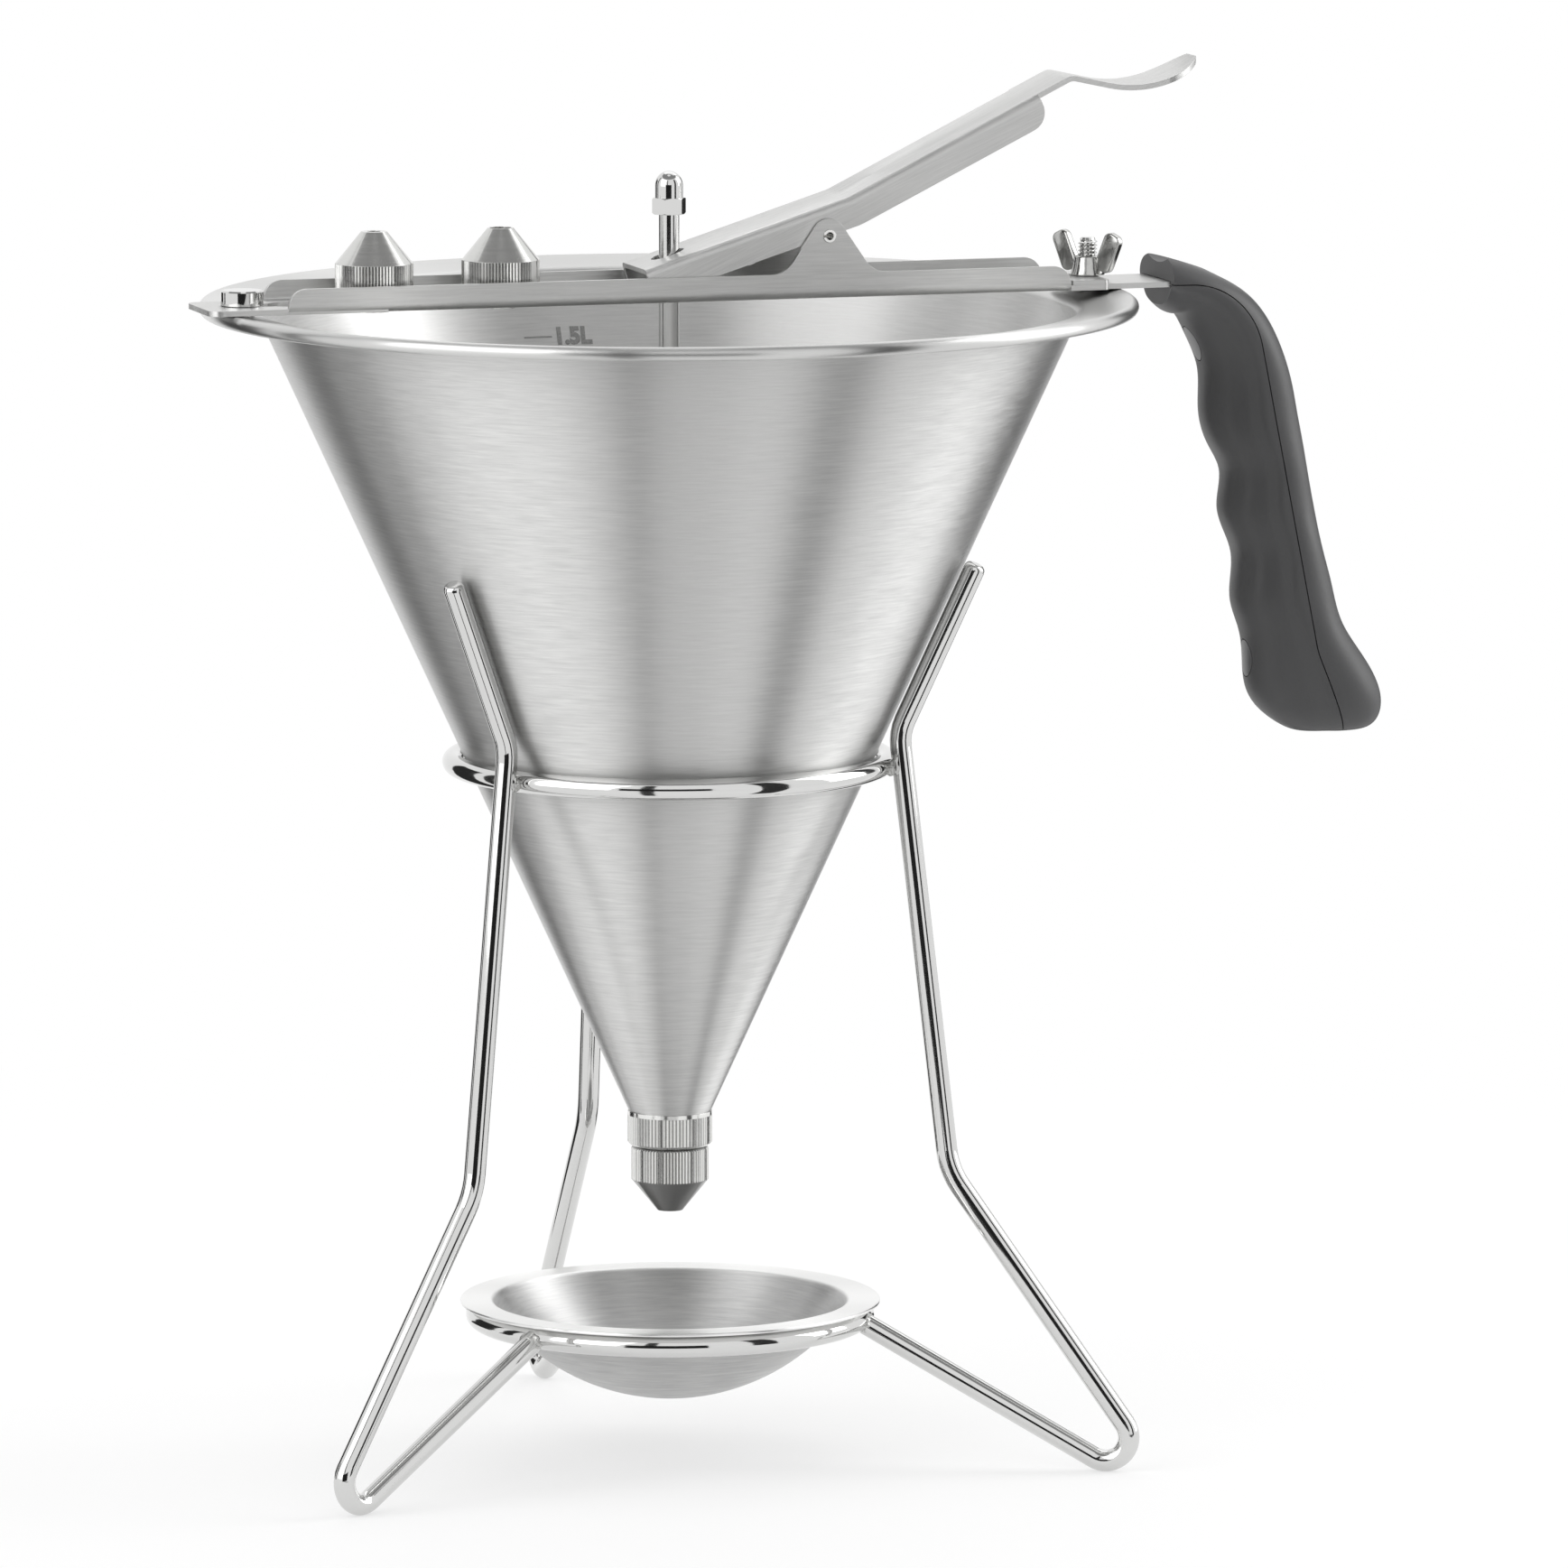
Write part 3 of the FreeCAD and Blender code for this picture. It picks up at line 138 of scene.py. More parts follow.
def stripSteel(name, lean):
    # cold-rolled stainless strip, brushed along its length and then folded: sheared edges catch the light
    look = {"spacing": 0.5, "length": 12, "dark": "#c8c8c7", "light": "#dadad9", "relief": 0.0025,
            "strength": 1.0, "brushed": (0.33, 0.4), "cloud": 22.22, "cloudShare": 0.06, "edge": 0.15}
    material, tree, shader = newMaterial(name, {"Metallic": 1.0, "Anisotropic": 0.7})
    place = addNode(tree, "ShaderNodeTexCoord").outputs["Object"]
    turned = addNode(tree, "ShaderNodeMapping", Vector=place, Rotation=(0, math.radians(lean), 0))
    lines = brushLines(tree, turned, look["spacing"], look["length"], "X")
    clouds = addNode(tree, "ShaderNodeTexNoise", Vector=place, Scale=1000 / look["cloud"], Detail=2.0)
    low, high = look["brushed"]
    rough = addNode(tree, "ShaderNodeMapRange", Value=lines, To_Min=low, To_Max=high, **noiseRange)
    rough = addNode(tree, "ShaderNodeMath", {"operation": "MULTIPLY_ADD"}, i0=clouds, i1=look["cloudShare"],
                    i2=rough)
    soften = addNode(tree, "ShaderNodeBevel", {"samples": 4}, Radius=look["edge"] / 1000)
    bump = addNode(tree, "ShaderNodeBump", Strength=look["strength"], Distance=look["relief"] / 1000,
                   Height=lines, Normal=soften)
    tangent = addNode(tree, "ShaderNodeTangent", {"direction_type": "RADIAL", "axis": "X"})
    tone = addNode(tree, "ShaderNodeMapRange", Value=lines, **noiseRange)
    colour = addNode(tree, "ShaderNodeMix", {"data_type": "RGBA"}, i0=tone, i6=linear(look["dark"]),
                     i7=linear(look["light"]))
    plugIn(tree, shader, Base_Color=colour.outputs[2], Roughness=rough, Normal=bump, Tangent=tangent)
    return material


def polishedWire():
    # stainless wire, drawn, bent and electropolished: a mirror with the faintest drawing haze
    look = {"haze": 9, "rough": (0.04, 0.1), "relief": 0.003, "strength": 0.6, "colour": "#d6d6d5"}
    material, tree, shader = newMaterial("electropolishedStainlessWire",
                                         {"Metallic": 1.0, "Base Color": linear(look["colour"])})
    place = addNode(tree, "ShaderNodeTexCoord").outputs["Object"]
    haze = addNode(tree, "ShaderNodeTexNoise", Vector=place, Scale=1000 / look["haze"], Detail=5.0)
    low, high = look["rough"]
    rough = addNode(tree, "ShaderNodeMapRange", Value=haze, To_Min=low, To_Max=high, **noiseRange)
    bump = addNode(tree, "ShaderNodeBump", Strength=look["strength"], Distance=look["relief"] / 1000,
                   Height=haze)
    plugIn(tree, shader, Roughness=rough, Normal=bump)
    return material


def turnedSteel(name, axisX=0.0):
    # free-cutting stainless bar, turned round the axis at axisX: fine feed marks, edges broken by a file
    look = {"feed": 0.25, "length": 12, "rough": (0.14, 0.24), "relief": 0.003, "strength": 0.8,
            "edge": 0.1, "colour": "#e6e6e4"}
    material, tree, shader = newMaterial(name, {"Metallic": 1.0, "Base Color": linear(look["colour"])})
    place = addNode(tree, "ShaderNodeTexCoord").outputs["Object"]
    place = addNode(tree, "ShaderNodeMapping", Vector=place, Location=(-axisX / 1000, 0, 0))
    lines = brushLines(tree, place, look["feed"], look["length"], "XY")
    soften = addNode(tree, "ShaderNodeBevel", {"samples": 4}, Radius=look["edge"] / 1000)
    bump = addNode(tree, "ShaderNodeBump", Strength=look["strength"], Distance=look["relief"] / 1000,
                   Height=lines, Normal=soften)
    low, high = look["rough"]
    rough = addNode(tree, "ShaderNodeMapRange", Value=lines, To_Min=low, To_Max=high, **noiseRange)
    plugIn(tree, shader, Roughness=rough, Normal=bump)
    return material


def knurledSteel(name, axisX, crest, tip):
    # the turned bar with a straight knurl out to the radius crest: bright crests, painted shade in the
    # grooves, and the cone and end faces in the grey tip, painted shade set for each part; crestEdge and
    # underEdge are depths in mm, and coneFrom and coneAll say how far a face looks up or down
    look = {"anisotropy": 0.6, "turn": 0.25, "groove": "#a4a4a3", "bright": "#e6e6e4",
            "crestEdge": (0.35, 0.0875), "underEdge": (0.56, 0.42), "coneFrom": 0.2, "coneAll": 0.35}
    material = turnedSteel(name, axisX)
    tree = material.node_tree
    shader = tree.nodes["Principled BSDF"]
    shader.inputs["Anisotropic"].default_value = look["anisotropy"]
    shader.inputs["Anisotropic Rotation"].default_value = look["turn"]
    tangent = addNode(tree, "ShaderNodeTangent", {"direction_type": "RADIAL", "axis": "Z"})
    coordinates = addNode(tree, "ShaderNodeTexCoord")
    place = addNode(tree, "ShaderNodeMapping", Vector=coordinates.outputs["Object"],
                    Location=(-axisX / 1000, 0, 0))
    flat = addNode(tree, "ShaderNodeVectorMath", {"operation": "MULTIPLY"}, i0=place, i1=(1, 1, 0))
    radius = addNode(tree, "ShaderNodeVectorMath", {"operation": "LENGTH"}, i0=flat).outputs["Value"]
    deep, shallow = look["crestEdge"]
    crests = addNode(tree, "ShaderNodeMapRange", Value=radius, From_Min=(crest - deep) / 1000,
                     From_Max=(crest - shallow) / 1000)
    deep, shallow = look["underEdge"]
    under = addNode(tree, "ShaderNodeMapRange", Value=radius, From_Min=(crest - deep) / 1000,
                    From_Max=(crest - shallow) / 1000, To_Min=1.0, To_Max=0.0)
    # crests and the faces inside the knurl stay bright; the band between them takes the painted groove shade
    clean = addNode(tree, "ShaderNodeMath", {"operation": "MAXIMUM"}, i0=crests, i1=under)
    upward = addNode(tree, "ShaderNodeSeparateXYZ", i0=coordinates.outputs["Normal"]).outputs[2]
    upward = addNode(tree, "ShaderNodeMath", {"operation": "ABSOLUTE"}, i0=upward)
    # faces that look up or down, the cones and the ends, take the grey tip: painted shade
    onCone = addNode(tree, "ShaderNodeMapRange", Value=upward, From_Min=look["coneFrom"],
                     From_Max=look["coneAll"])
    # painted shade: the knurl's grooves are darker than its crests
    knurl = addNode(tree, "ShaderNodeMix", {"data_type": "RGBA"}, i0=clean, i6=linear(look["groove"]),
                    i7=linear(look["bright"]))
    colour = addNode(tree, "ShaderNodeMix", {"data_type": "RGBA"}, i0=onCone, i6=knurl.outputs[2],
                     i7=linear(tip))
    plugIn(tree, shader, Base_Color=colour.outputs[2], Tangent=tangent)
    return material


def castSteel():
    # investment-cast stainless, tumbled: soft mirror over small waves
    look = {"wave": 1.6, "rough": (0.12, 0.24), "relief": 0.012, "strength": 0.5, "colour": "#bdbdbb"}
    material, tree, shader = newMaterial("castTumbledStainless",
                                         {"Metallic": 1.0, "Base Color": linear(look["colour"])})
    place = addNode(tree, "ShaderNodeTexCoord").outputs["Object"]
    waves = addNode(tree, "ShaderNodeTexNoise", Vector=place, Scale=1000 / look["wave"], Detail=3.0)
    low, high = look["rough"]
    rough = addNode(tree, "ShaderNodeMapRange", Value=waves, To_Min=low, To_Max=high, **noiseRange)
    bump = addNode(tree, "ShaderNodeBump", Strength=look["strength"], Distance=look["relief"] / 1000,
                   Height=waves)
    plugIn(tree, shader, Roughness=rough, Normal=bump)
    return material


def mouldedNylon(name, dark, light, low, high):
    # glass-filled polyamide, moulded in a spark-eroded tool: even fine grain, low sheen
    look = {"grain": 0.5, "patch": 22, "relief": 0.02, "strength": 0.6}
    material, tree, shader = newMaterial(name, {"IOR": 1.53})
    place = addNode(tree, "ShaderNodeTexCoord").outputs["Object"]
    grain = addNode(tree, "ShaderNodeTexNoise", Vector=place, Scale=1000 / look["grain"], Detail=2.0)
    patch = addNode(tree, "ShaderNodeTexNoise", Vector=place, Scale=1000 / look["patch"], Detail=2.0)
    rough = addNode(tree, "ShaderNodeMapRange", Value=patch, To_Min=low, To_Max=high, **noiseRange)
    bump = addNode(tree, "ShaderNodeBump", Strength=look["strength"], Distance=look["relief"] / 1000,
                   Height=grain)
    colour = addNode(tree, "ShaderNodeMix", {"data_type": "RGBA"}, i0=patch, i6=linear(dark),
                     i7=linear(light))
    plugIn(tree, shader, Base_Color=colour.outputs[2], Roughness=rough, Normal=bump)
    return material


def etchedMark():
    # electrolytic etch in the steel: matt, darker, speckled
    look = {"speckle": 0.35, "dark": "#747473", "light": "#959594"}
    material, tree, shader = newMaterial("etchedStainless", {"Metallic": 0.7, "Roughness": 0.6})
    place = addNode(tree, "ShaderNodeTexCoord").outputs["Object"]
    speckle = addNode(tree, "ShaderNodeTexNoise", Vector=place, Scale=1000 / look["speckle"], Detail=2.0)
    tone = addNode(tree, "ShaderNodeMapRange", Value=speckle, **noiseRange)
    colour = addNode(tree, "ShaderNodeMix", {"data_type": "RGBA"}, i0=tone, i6=linear(look["dark"]),
                     i7=linear(look["light"]))
    plugIn(tree, shader, Base_Color=colour.outputs[2])
    return material


def weldMetal():
    # spot of resistance weld, pickled: pitted and grey beside the polished wire
    look = {"pit": 0.7, "relief": 0.12, "strength": 1.0, "rough": (0.2, 0.45), "colour": "#c2c2c0"}
    material, tree, shader = newMaterial("pickledWeld",
                                         {"Metallic": 1.0, "Base Color": linear(look["colour"])})
    place = addNode(tree, "ShaderNodeTexCoord").outputs["Object"]
    pits = addNode(tree, "ShaderNodeTexNoise", Vector=place, Scale=1000 / look["pit"], Detail=3.0)
    low, high = look["rough"]
    rough = addNode(tree, "ShaderNodeMapRange", Value=pits, To_Min=low, To_Max=high, **noiseRange)
    bump = addNode(tree, "ShaderNodeBump", Strength=look["strength"], Distance=look["relief"] / 1000,
                   Height=pits)
    plugIn(tree, shader, Roughness=rough, Normal=bump)
    return material


# same steel as the bowl: the funnel's greyer buffed flange is painted shade
funnelSteel = spunSteel("spunBrushedStainlessFunnel", 93.2, 266.4, "#d0d0cf", "#e2e2e1", "#d2d2d1")
# the bowl's darker brushed sheet is painted shade, and its near-white flange is a painted highlight
bowlSteel = spunSteel("spunBrushedStainlessBowl", 41.2, 35.6, "#bababa", "#d0d0cf", "#f0f0ef")
barSteel = stripSteel("brushedStainlessBar", 0)
leverSteel = stripSteel("brushedStainlessLever", 24)
wireSteel = polishedWire()
turnedBar = turnedSteel("turnedStainlessBar")
castNut = castSteel()
nylon = mouldedNylon("sparkGrainedPolyamide", "#3a3a3b", "#424243", 0.4, 0.5)
# the plugs' grey is lighter than the shells' and stands for the highlight round their edges: painted
# highlight
plugNylon = mouldedNylon("smoothPolyamidePlug", "#4b4b4c", "#505051", 0.28, 0.34)
etched = etchedMark()
weld = weldMetal()

finishes = {
    "upper_ring": wireSteel, "lower_ring": wireSteel, "leg_front_left": wireSteel,
    "leg_front_right": wireSteel, "leg_back": wireSteel, "weld_beads": weld,
    "drip_bowl": bowlSteel, "funnel_cone": funnelSteel,
    "outlet_collar": knurledSteel("knurledStainlessCollar", 0, 9.8, "#dcdcda"),
    # the mounted nozzle's cone is painted a darker grey than the spares' cones: painted shade
    "nozzle": knurledSteel("knurledStainlessNozzle", 0, 8.95, "#959594"),
    "spare_nozzle_small": knurledSteel("knurledStainlessSpareSmall", -70.2, 8.95, "#d6d6d4"),
    "spare_nozzle_large": knurledSteel("knurledStainlessSpareLarge", -40.2, 8.95, "#d6d6d4"),
    "nozzle_pegs": turnedBar, "cross_bar": barSteel, "clamp_plate": barSteel,
    "button_stud": wireSteel, "threaded_stud": turnedBar, "wing_nut": castNut, "pivot_pin": turnedBar,
    "lever": leverSteel, "torsion_spring": wireSteel, "valve_tip": turnedBar, "valve_rod": wireSteel,
    "acorn_nut": wireSteel, "handle_grip_shell": nylon, "handle_back_shell": nylon,
    "handle_screws": turnedBar, "handle_plugs": plugNylon,
}
for name, material in finishes.items():
    nodes[name].data.materials.clear()
    nodes[name].data.materials.append(material)
print("materials made and put on the CAD nodes")


def makePiece(name, bm, material, body, slotName, *replaced, smoothAngle=50):
    # a finished bmesh becomes an object at the origin that rides on a body
    bmesh.ops.remove_doubles(bm, verts=bm.verts, dist=1e-6)
    bmesh.ops.recalc_face_normals(bm, faces=bm.faces)
    limit = math.radians(smoothAngle)
    for face in bm.faces:
        face.smooth = True
    for edge in bm.edges:
        if len(edge.link_faces) == 2:
            edge.smooth = edge.calc_face_angle() < limit
    mesh = bpy.data.meshes.new(name)
    bm.to_mesh(mesh)
    bm.free()
    mesh.materials.append(material)
    piece = bpy.data.objects.new(name, mesh)
    bpy.context.scene.collection.objects.link(piece)
    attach(piece, body)
    if replaced:
        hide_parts(*replaced)


def drawOutline(bm, points, closed=False):
    # line through (radius, height, corner) in the XZ plane; a corner is rounded by bevelling its vertex
    made = [bm.verts.new(mm(r, 0, z)) for r, z, corner in points]
    pairs = list(zip(made, made[1:])) + ([(made[-1], made[0])] if closed else [])
    for first, second in pairs:
        bm.edges.new((first, second))
    for vertex, (r, z, corner) in zip(made, points):
        if corner:
            bmesh.ops.bevel(bm, geom=[vertex], offset=corner / 1000, segments=4, profile=0.5,
                            affect="VERTICES", material=-1)


def latheOutline(points, steps=64, closed=False):
    # a full turn round Z; a closed outline's edge along the axis is left out, as it sweeps no face
    bm = bmesh.new()
    drawOutline(bm, points, closed)
    onAxis = [edge for edge in bm.edges if all(v.co.x < 1e-6 for v in edge.verts)]
    bmesh.ops.delete(bm, geom=onAxis, context="EDGES")
    bmesh.ops.spin(bm, geom=list(bm.verts) + list(bm.edges), cent=(0, 0, 0), axis=(0, 0, 1),
                   angle=math.tau, steps=steps, use_merge=True)
    return bm


def addInto(bm, other):
    # bring one bmesh into another
    carrier = bpy.data.meshes.new("carrier")
    other.to_mesh(carrier)
    other.free()
    bm.from_mesh(carrier)
    bpy.data.meshes.remove(carrier)


def arcPoints(cx, cz, radius, start, end, count):
    turns = [math.radians(start + (end - start) * k / count) for k in range(count + 1)]
    return [(cx + radius * math.cos(a), cz + radius * math.sin(a), 0) for a in turns]


# height where the outer wall would end in a point, radius gained per height, and the wall measured level
cone = {"apex": 60.12, "slope": 0.45784, "wall": 0.88}


def buildFunnel():
    # one sheet: straight cone, soft bend into the sloping flange, edge rolled into a bead
    funnel = {"low": 78.98, "mouth": 94.2, "mouthZ": 267.77, "rise": 9.0, "sheet": 0.8, "beadR": 106.4,
              "bead": 1.6, "bend": 1.6, "underBend": 1.2, "beadSteps": 36, "steps": 288}
    rise = math.radians(funnel["rise"])
    steep = math.tan(rise)
    lowR = (funnel["low"] - cone["apex"]) * cone["slope"]
    underR = funnel["mouth"] + funnel["sheet"] * math.sin(rise)
    underZ = funnel["mouthZ"] - funnel["sheet"] * math.cos(rise)
    # the outer wall meets the flange's underside here
    cornerR = (underZ - underR * steep - cone["apex"]) * cone["slope"] / (1 - cone["slope"] * steep)
    cornerZ = cone["apex"] + cornerR / cone["slope"]
    beadZ = funnel["mouthZ"] + (funnel["beadR"] - funnel["mouth"]) * steep - funnel["bead"] / math.cos(rise)
    bite = math.degrees(math.acos((funnel["bead"] - funnel["sheet"]) / funnel["bead"]))
    bead = arcPoints(funnel["beadR"], beadZ, funnel["bead"], 90 + funnel["rise"] + bite,
                     450 + funnel["rise"], funnel["beadSteps"])
    outline = [(lowR - cone["wall"], funnel["low"], 0), (lowR, funnel["low"], 0),
               (cornerR, cornerZ, funnel["underBend"]), *bead,
               (funnel["mouth"], funnel["mouthZ"], funnel["bend"])]
    bm = latheOutline(outline, funnel["steps"], True)
    makePiece("funnelSpun", bm, funnelSteel, "funnel", "spun_sheet", "funnel_cone")


def buildBowl():
    # shallow spun bowl, buffed flat flange, softened where flange and bowl meet
    bowl = {"flangeLow": 36.0, "sheet": 0.8, "flange": 48.7, "mouth": 41.4, "depth": 23.0, "edge": 0.35,
            "bend": 0.7, "arcSteps": 24, "steps": 224}
    deep = bowl["depth"] - bowl["sheet"]
    inner = (bowl["mouth"] ** 2 + deep ** 2) / (2 * deep)
    top = bowl["flangeLow"] + bowl["sheet"]
    centre = top + inner - deep
    outer = inner + bowl["sheet"]
    innerEnd = math.degrees(math.asin((centre - top) / inner))
    outerEnd = math.degrees(math.asin((centre - bowl["flangeLow"]) / outer))
    inside = arcPoints(0, centre, inner, -innerEnd, -90, bowl["arcSteps"])
    outside = arcPoints(0, centre, outer, -90, -outerEnd, bowl["arcSteps"])
    inside[0] = (*inside[0][:2], bowl["bend"])
    outside[-1] = (*outside[-1][:2], bowl["bend"])
    rim = [(bowl["flange"], bowl["flangeLow"], bowl["edge"]), (bowl["flange"], top, bowl["edge"])]
    bm = latheOutline(inside + outside + rim, bowl["steps"], True)
    makePiece("dripBowlSpun", bm, bowlSteel, "drip_bowl", "spun_sheet", "drip_bowl")


def buildThreadedStud():
    # M4.5 stud on the rim: collar under the bar, rolled thread above it
    stud = {"x": 101.2, "foot": 268.85, "barUnder": 269.8, "top": 281.0, "collar": 3.2, "edge": 0.15,
            "crest": 2.2, "root": 1.7, "core": 1.72, "pitch": 0.85, "tip": 0.5, "tipR": 1.55,
            "shoulder": 1.82, "shoulderStep": 0.1, "steps": 40}
    shoulderZ = stud["top"] - stud["tip"]
    turns = int((shoulderZ - stud["barUnder"]) / stud["pitch"]) - 1
    bm = latheOutline([(0, stud["barUnder"], 0), (stud["collar"], stud["barUnder"], stud["edge"]),
                       (stud["collar"], stud["foot"], 0), (0, stud["foot"], 0)], stud["steps"])
    core = latheOutline([(0, stud["top"], 0), (stud["tipR"], stud["top"], 0),
                         (stud["shoulder"], shoulderZ, 0),
                         (stud["core"], shoulderZ - stud["shoulderStep"], 0),
                         (stud["core"], stud["barUnder"], 0), (0, stud["barUnder"], 0)], stud["steps"])
    low = shoulderZ - stud["pitch"] * (turns + 1)
    middle = low + stud["pitch"] / 2
    flat = stud["pitch"] / 8
    thread = bmesh.new()
    drawOutline(thread, [(stud["root"], low, 0), (stud["crest"], middle - flat, 0),
                         (stud["crest"], middle + flat, 0), (stud["root"], low + stud["pitch"], 0)])
    bmesh.ops.spin(thread, geom=list(thread.verts) + list(thread.edges), cent=(0, 0, 0), axis=(0, 0, 1),
                   dvec=mm(0, 0, stud["pitch"] / stud["steps"]), angle=math.tau * turns,
                   steps=stud["steps"] * turns)
    addInto(bm, core)
    addInto(bm, thread)
    bmesh.ops.translate(bm, verts=bm.verts, vec=mm(stud["x"], 0, 0))
    makePiece("threadedStud", bm, wireSteel, "funnel", "polished_fasteners", "threaded_stud")


def buildWingNut():
    # cast wing nut: coned hub and two rounded wings that lean out
    nut = {"x": 101.2, "z": 272.21, "hub": 4.6, "low": 4.1, "waist": 3.4, "high": 3.1, "bore": 2.26,
           "lift": 0.01, "rounds": (0.2, 0.4, 0.6, 0.5, 0.2), "wingHeight": 9.5, "wingWidth": 4.6,
           "thick": 2.0, "reach": 4.388, "wingFoot": 1.15, "lean": 24, "turn": -57, "corner": 1.7,
           "edge": 0.45, "steps": 64}
    corners = ((nut["bore"], nut["lift"]), (nut["low"], nut["lift"]), (nut["waist"], nut["hub"] / 2),
               (nut["high"], nut["hub"]), (nut["bore"], nut["hub"]))
    bm = latheOutline([(*corner, size) for corner, size in zip(corners, nut["rounds"])], nut["steps"], True)
    for half in (0, 180):
        wing = bmesh.new()
        bmesh.ops.create_cube(wing, size=0.001)
        bmesh.ops.scale(wing, verts=wing.verts, vec=(nut["wingWidth"], nut["thick"], nut["wingHeight"]))
        bmesh.ops.translate(wing, verts=wing.verts, vec=mm(0, 0, nut["wingHeight"] / 2))
        # first the edges through the thickness, then the outlines of both flat faces
        through = [e for e in wing.edges if abs((e.verts[0].co - e.verts[1].co).y) > nut["thick"] * 0.0009]
        bmesh.ops.bevel(wing, geom=through, offset=nut["corner"] / 1000, segments=6, profile=0.5,
                        affect="EDGES", material=-1)
        rims = [e for e in wing.edges if any(abs(f.normal.y) > 0.9 for f in e.link_faces)]
        bmesh.ops.bevel(wing, geom=rims, offset=nut["edge"] / 1000, segments=3, profile=0.5,
                        affect="EDGES", material=-1)
        lean = Matrix.Rotation(math.radians(nut["lean"]), 4, "Y")
        out = Matrix.Translation(mm(nut["reach"], 0, nut["wingFoot"]))
        bmesh.ops.transform(wing, matrix=Matrix.Rotation(math.radians(half), 4, "Z") @ out @ lean,
                            verts=wing.verts)
        addInto(bm, wing)
    bmesh.ops.rotate(bm, verts=bm.verts, cent=(0, 0, 0),
                     matrix=Matrix.Rotation(math.radians(nut["turn"]), 3, "Z"))
    bmesh.ops.translate(bm, verts=bm.verts, vec=mm(nut["x"], 0, nut["z"]))
    makePiece("wingNutCast", bm, castNut, "wing_nut", "polished_fasteners", "wing_nut")


def buildWelds():
    # pitted blobs of weld where each leg meets the two rings: (radius, height, half sizes) for each ring
    welds = {"rings": ((52.7, 162.3, (1.5, 2.2, 1.9)), (46.4, 32.6, (2.2, 3.1, 2.3))),
             "angles": (-29.4, 90.6, 210.6), "wobble": 0.28, "lumpsPerMetre": 900, "fineness": 4}
    bm = bmesh.new()
    for radius, height, size in welds["rings"]:
        for angle in welds["angles"]:
            blob = bmesh.new()
            bmesh.ops.create_icosphere(blob, subdivisions=welds["fineness"], radius=0.001)
            bmesh.ops.scale(blob, verts=blob.verts, vec=size)
            shift = Vector((angle, radius, 0))
            for vert in blob.verts:
                vert.co *= 1 + welds["wobble"] * noise.noise(vert.co * welds["lumpsPerMetre"] + shift)
            bmesh.ops.translate(blob, verts=blob.verts, vec=mm(radius, 0, height))
            bmesh.ops.rotate(blob, verts=blob.verts, cent=(0, 0, 0),
                             matrix=Matrix.Rotation(math.radians(angle), 3, "Z"))
            addInto(bm, blob)
    makePiece("weldBlobs", bm, weld, "stand", "stand_wire", "weld_beads", smoothAngle=60)


def buildFillMark():
    # 1.5L line and figures, etched in the far inner wall at the level of a litre and a half
    mark = {"height": 250.7, "figure": 4.0, "sizePerFigure": 1.42, "bold": 0.3, "width": 9.3, "relief": 0.01,
            "depth": 0.08, "start": 91.7, "lineEnd": 96.5, "lineHeight": 252.3, "lineWidth": 0.36,
            "lineCuts": 6, "gap": 0.3, "wallRadius": 86.8, "curveSteps": 4}
    letters = bpy.data.curves.new("fillMarkText", "FONT")
    letters.body = "1.5L"
    letters.size = mark["figure"] * mark["sizePerFigure"] / 1000
    letters.extrude = mark["relief"] / 1000
    letters.offset = mark["bold"] / 1000
    letters.resolution_u = mark["curveSteps"]
    carrier = bpy.data.objects.new("fillMarkText", letters)
    bpy.context.scene.collection.objects.link(carrier)
    shape = bpy.data.meshes.new_from_object(carrier.evaluated_get(bpy.context.evaluated_depsgraph_get()))
    bpy.data.objects.remove(carrier)
    bm = bmesh.new()
    bm.from_mesh(shape)
    wide = max(v.co.x for v in bm.verts)
    bmesh.ops.scale(bm, verts=bm.verts, vec=(mark["width"] / 1000 / wide, 1, 1))
    # the line left of the figures, cut up so that it can follow the wall
    reach = math.radians(mark["lineEnd"] - mark["start"]) * mark["wallRadius"]
    upright = math.cos(math.atan(cone["slope"]))
    dash = bmesh.new()
    bmesh.ops.create_cube(dash, size=0.001)
    bmesh.ops.scale(dash, verts=dash.verts, vec=(reach - mark["gap"], mark["lineWidth"], mark["relief"] * 2))
    longEdges = [e for e in dash.edges if abs((e.verts[0].co - e.verts[1].co).x) > 0.001]
    bmesh.ops.subdivide_edges(dash, edges=longEdges, cuts=mark["lineCuts"])
    bmesh.ops.translate(dash, verts=dash.verts, vec=mm(-reach / 2 - mark["gap"],
                                                       (mark["lineHeight"] - mark["height"]) / upright, 0))
    addInto(bm, dash)
    # bend the flat mark on to the cone's inner wall
    for vert in bm.verts:
        across, rise, out = vert.co * 1000
        z = mark["height"] + rise * upright
        r = (z - cone["apex"]) * cone["slope"] - cone["wall"] - mark["depth"] - out
        angle = math.radians(mark["start"]) - across / mark["wallRadius"]
        vert.co = mm(r * math.cos(angle), r * math.sin(angle), z)
    makePiece("fillMark", bm, etched, "funnel", "spun_sheet", smoothAngle=40)


buildFunnel()
buildBowl()
print("funnel and bowl spun")
buildThreadedStud()
buildWingNut()
buildWelds()
buildFillMark()
print("detail pieces made")

cameraSide = -106.5  # world angle of the side that the camera stands on, in degrees from +X


def aroundObject(azimuth, distance, height):
    # azimuth in degrees to the right of the camera's side of the object
    angle = math.radians(azimuth + cameraSide)
    return Vector((distance * math.cos(angle), distance * math.sin(angle), height))


def addStage(name, bm, material):
    mesh = bpy.data.meshes.new(name)
    bm.to_mesh(mesh)
    bm.free()
    mesh.materials.append(material)
    piece = bpy.data.objects.new(name, mesh)
    bpy.context.scene.collection.objects.link(piece)
    return piece


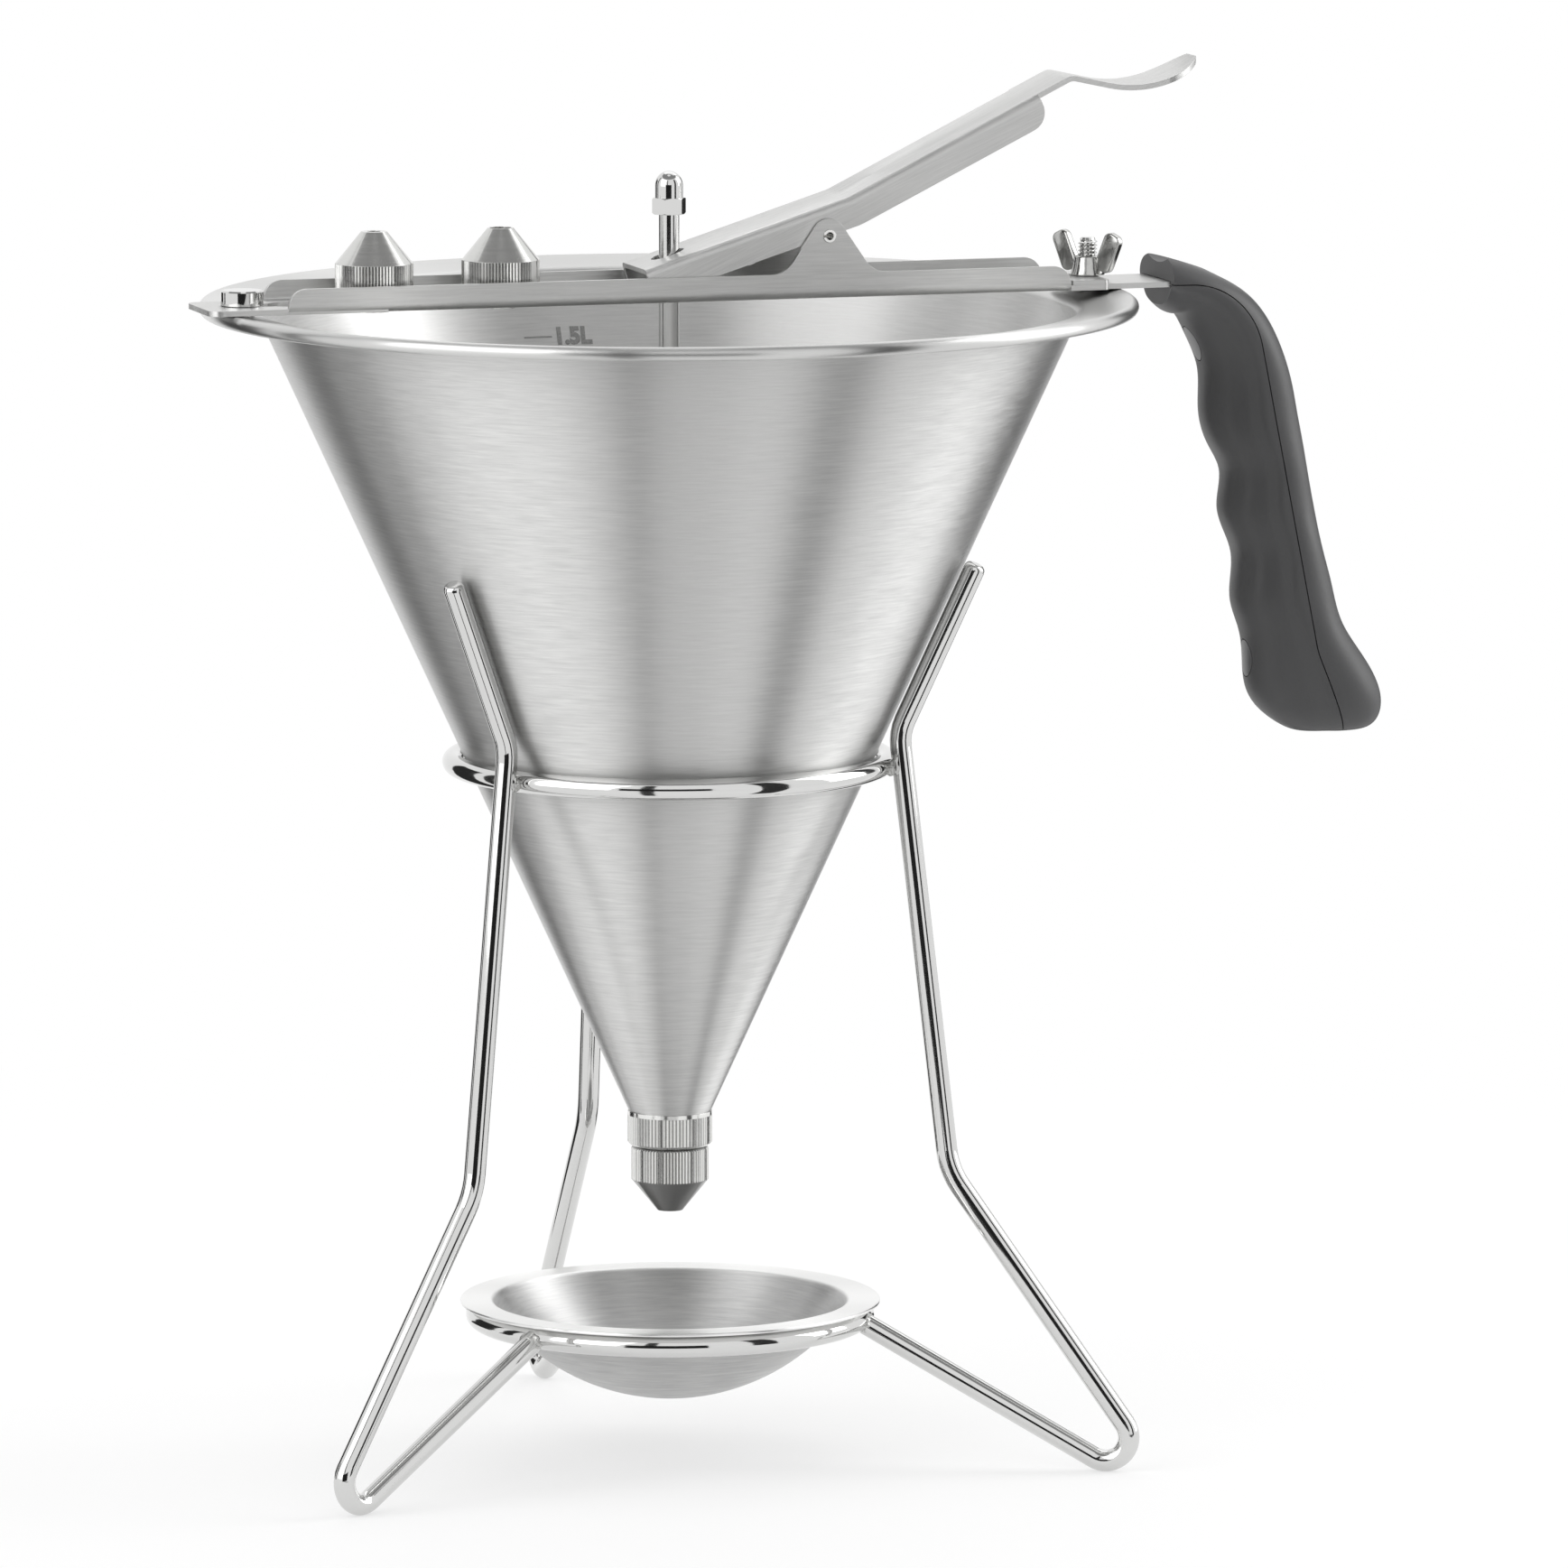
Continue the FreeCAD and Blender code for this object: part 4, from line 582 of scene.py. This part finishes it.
def seenDirectly(tree):
    # 1 for what the camera sees, itself, in a mirror or through glass, and 0 for light that falls on things
    path = addNode(tree, "ShaderNodeLightPath")
    seen = addNode(tree, "ShaderNodeMath", {"operation": "MAXIMUM"}, i0=path.outputs["Is Camera Ray"],
                   i1=path.outputs["Is Glossy Ray"])
    return addNode(tree, "ShaderNodeMath", {"operation": "MAXIMUM"}, i0=seen,
                   i1=path.outputs["Is Transmission Ray"])


def paleFloor():
    # matt white sweep: diffuse round the object so that it keeps the shadow, plain white further out
    look = {"size": 8.0, "colour": "#f7f7f7", "whiteFrom": 0.2, "whiteAll": 0.6, "lift": 0.56}
    bm = bmesh.new()
    bmesh.ops.create_grid(bm, x_segments=1, y_segments=1, size=look["size"])
    material, tree, shader = newMaterial("mattPaperSweep", {"Base Color": linear(look["colour"]),
                                                           "Roughness": 0.9, "Specular IOR Level": 0.0})
    place = addNode(tree, "ShaderNodeTexCoord").outputs["Object"]
    reach = addNode(tree, "ShaderNodeVectorMath", {"operation": "LENGTH"}, i0=place).outputs["Value"]
    fade = addNode(tree, "ShaderNodeMapRange", {"interpolation_type": "SMOOTHSTEP"}, Value=reach,
                   From_Min=look["whiteFrom"], From_Max=look["whiteAll"], To_Min=look["lift"])
    share = addNode(tree, "ShaderNodeMath", {"operation": "MULTIPLY"}, i0=fade, i1=seenDirectly(tree))
    white = addNode(tree, "ShaderNodeEmission", Strength=1.0)
    both = addNode(tree, "ShaderNodeMixShader", i0=share, i1=shader, i2=white)
    tree.links.new(both.outputs[0], tree.nodes["Material Output"].inputs["Surface"])
    addStage("floor", bm, material)


def worldLight():
    # even light from all sides, plain white where it is seen
    look = {"soft": 0.8, "white": 1.0}
    world = bpy.data.worlds.new("studioWorld")
    bpy.context.scene.world = world
    world.use_nodes = True
    tree = world.node_tree
    tree.nodes.clear()
    soft = addNode(tree, "ShaderNodeBackground", Color=linear("#ffffff"), Strength=look["soft"])
    white = addNode(tree, "ShaderNodeBackground", Color=linear("#ffffff"), Strength=look["white"])
    choose = addNode(tree, "ShaderNodeMixShader", i0=seenDirectly(tree), i1=soft, i2=white)
    addNode(tree, "ShaderNodeOutputWorld", Surface=choose)


def darkFlag(name, azimuth, span, near, far, height, grey, lift=2):
    # black or grey card that shows in reflections alone: it gives the steel its dark bands
    bm = bmesh.new()
    drawOutline(bm, [(near, lift, 0), (far, lift, 0), (far, lift + height, 0)])
    start = math.radians(azimuth - span / 2 + cameraSide)
    bmesh.ops.rotate(bm, verts=bm.verts, cent=(0, 0, 0), matrix=Matrix.Rotation(start, 3, "Z"))
    bmesh.ops.spin(bm, geom=list(bm.verts) + list(bm.edges), cent=(0, 0, 0), axis=(0, 0, 1),
                   angle=math.radians(span), steps=12)
    material = bpy.data.materials.new(name + "Paint")
    material.use_nodes = True
    tree = material.node_tree
    tree.nodes.clear()
    paint = addNode(tree, "ShaderNodeEmission", Color=(grey, grey, grey, 1.0), Strength=1.0)
    addNode(tree, "ShaderNodeOutputMaterial", Surface=paint)
    flag = addStage(name, bm, material)
    flag.visible_camera = False
    flag.visible_diffuse = False
    flag.visible_shadow = False


def areaLight(name, azimuth, distance, height, size, power):
    aimHeight = 0.15  # about half way up the object
    data = bpy.data.lights.new(name, "AREA")
    data.shape = "RECTANGLE"
    data.size, data.size_y = size
    data.energy = power
    lamp = bpy.data.objects.new(name, data)
    bpy.context.scene.collection.objects.link(lamp)
    lamp.location = aroundObject(azimuth, distance, height)
    lamp.rotation_euler = (Vector((0, 0, aimHeight)) - lamp.location).to_track_quat("-Z", "Y").to_euler()


def photoCamera():
    # solved from the rim, the rings and the cone's edges in the photo
    view = {"place": (-901.51, -3043.45, 592.97), "towards": (0.28927, 0.94753, -0.13605), "lens": 318.55,
            "sensor": 36.0, "farthest": 50}
    data = bpy.data.cameras.new("photoCamera")
    data.sensor_width = view["sensor"]
    data.lens = view["lens"]
    data.clip_end = view["farthest"]
    camera = bpy.data.objects.new("photoCamera", data)
    bpy.context.scene.collection.objects.link(camera)
    camera.location = mm(*view["place"])
    camera.rotation_euler = Vector(view["towards"]).to_track_quat("-Z", "Y").to_euler()
    bpy.context.scene.camera = camera


paleFloor()
worldLight()
areaLight("softboxLeft", -50, 1.5, 0.85, (1.3, 1.4), 9)
areaLight("softboxRight", 102, 1.5, 0.8, (0.9, 1.4), 10)
areaLight("softboxTop", 170, 0.9, 1.6, (1.4, 1.0), 4)

# azimuth and span in degrees, near, far and height in millimetres, and the card's grey
darkFlag("flagRight", 54, 15, 150, 1300, 1500, 0.04)
darkFlag("flagFront", -11, 7, 150, 1300, 1500, 0.05)
darkFlag("flagLeft", -102, 9, 180, 1300, 1500, 0.03)
darkFlag("flagBehindCamera", -2, 46, 620, 1280, 420, 0.02)
darkFlag("flagOverhead", 0, 359, 300, 1500, 2, 0.3, lift=2000)
darkFlag("flagBackRight", 149, 16, 180, 1300, 700, 0.03)
darkFlag("flagBackLeft", -128, 26, 180, 1300, 700, 0.03)
photoCamera()
bpy.context.scene.view_settings.view_transform = "Standard"
print("floor, lights and camera set")
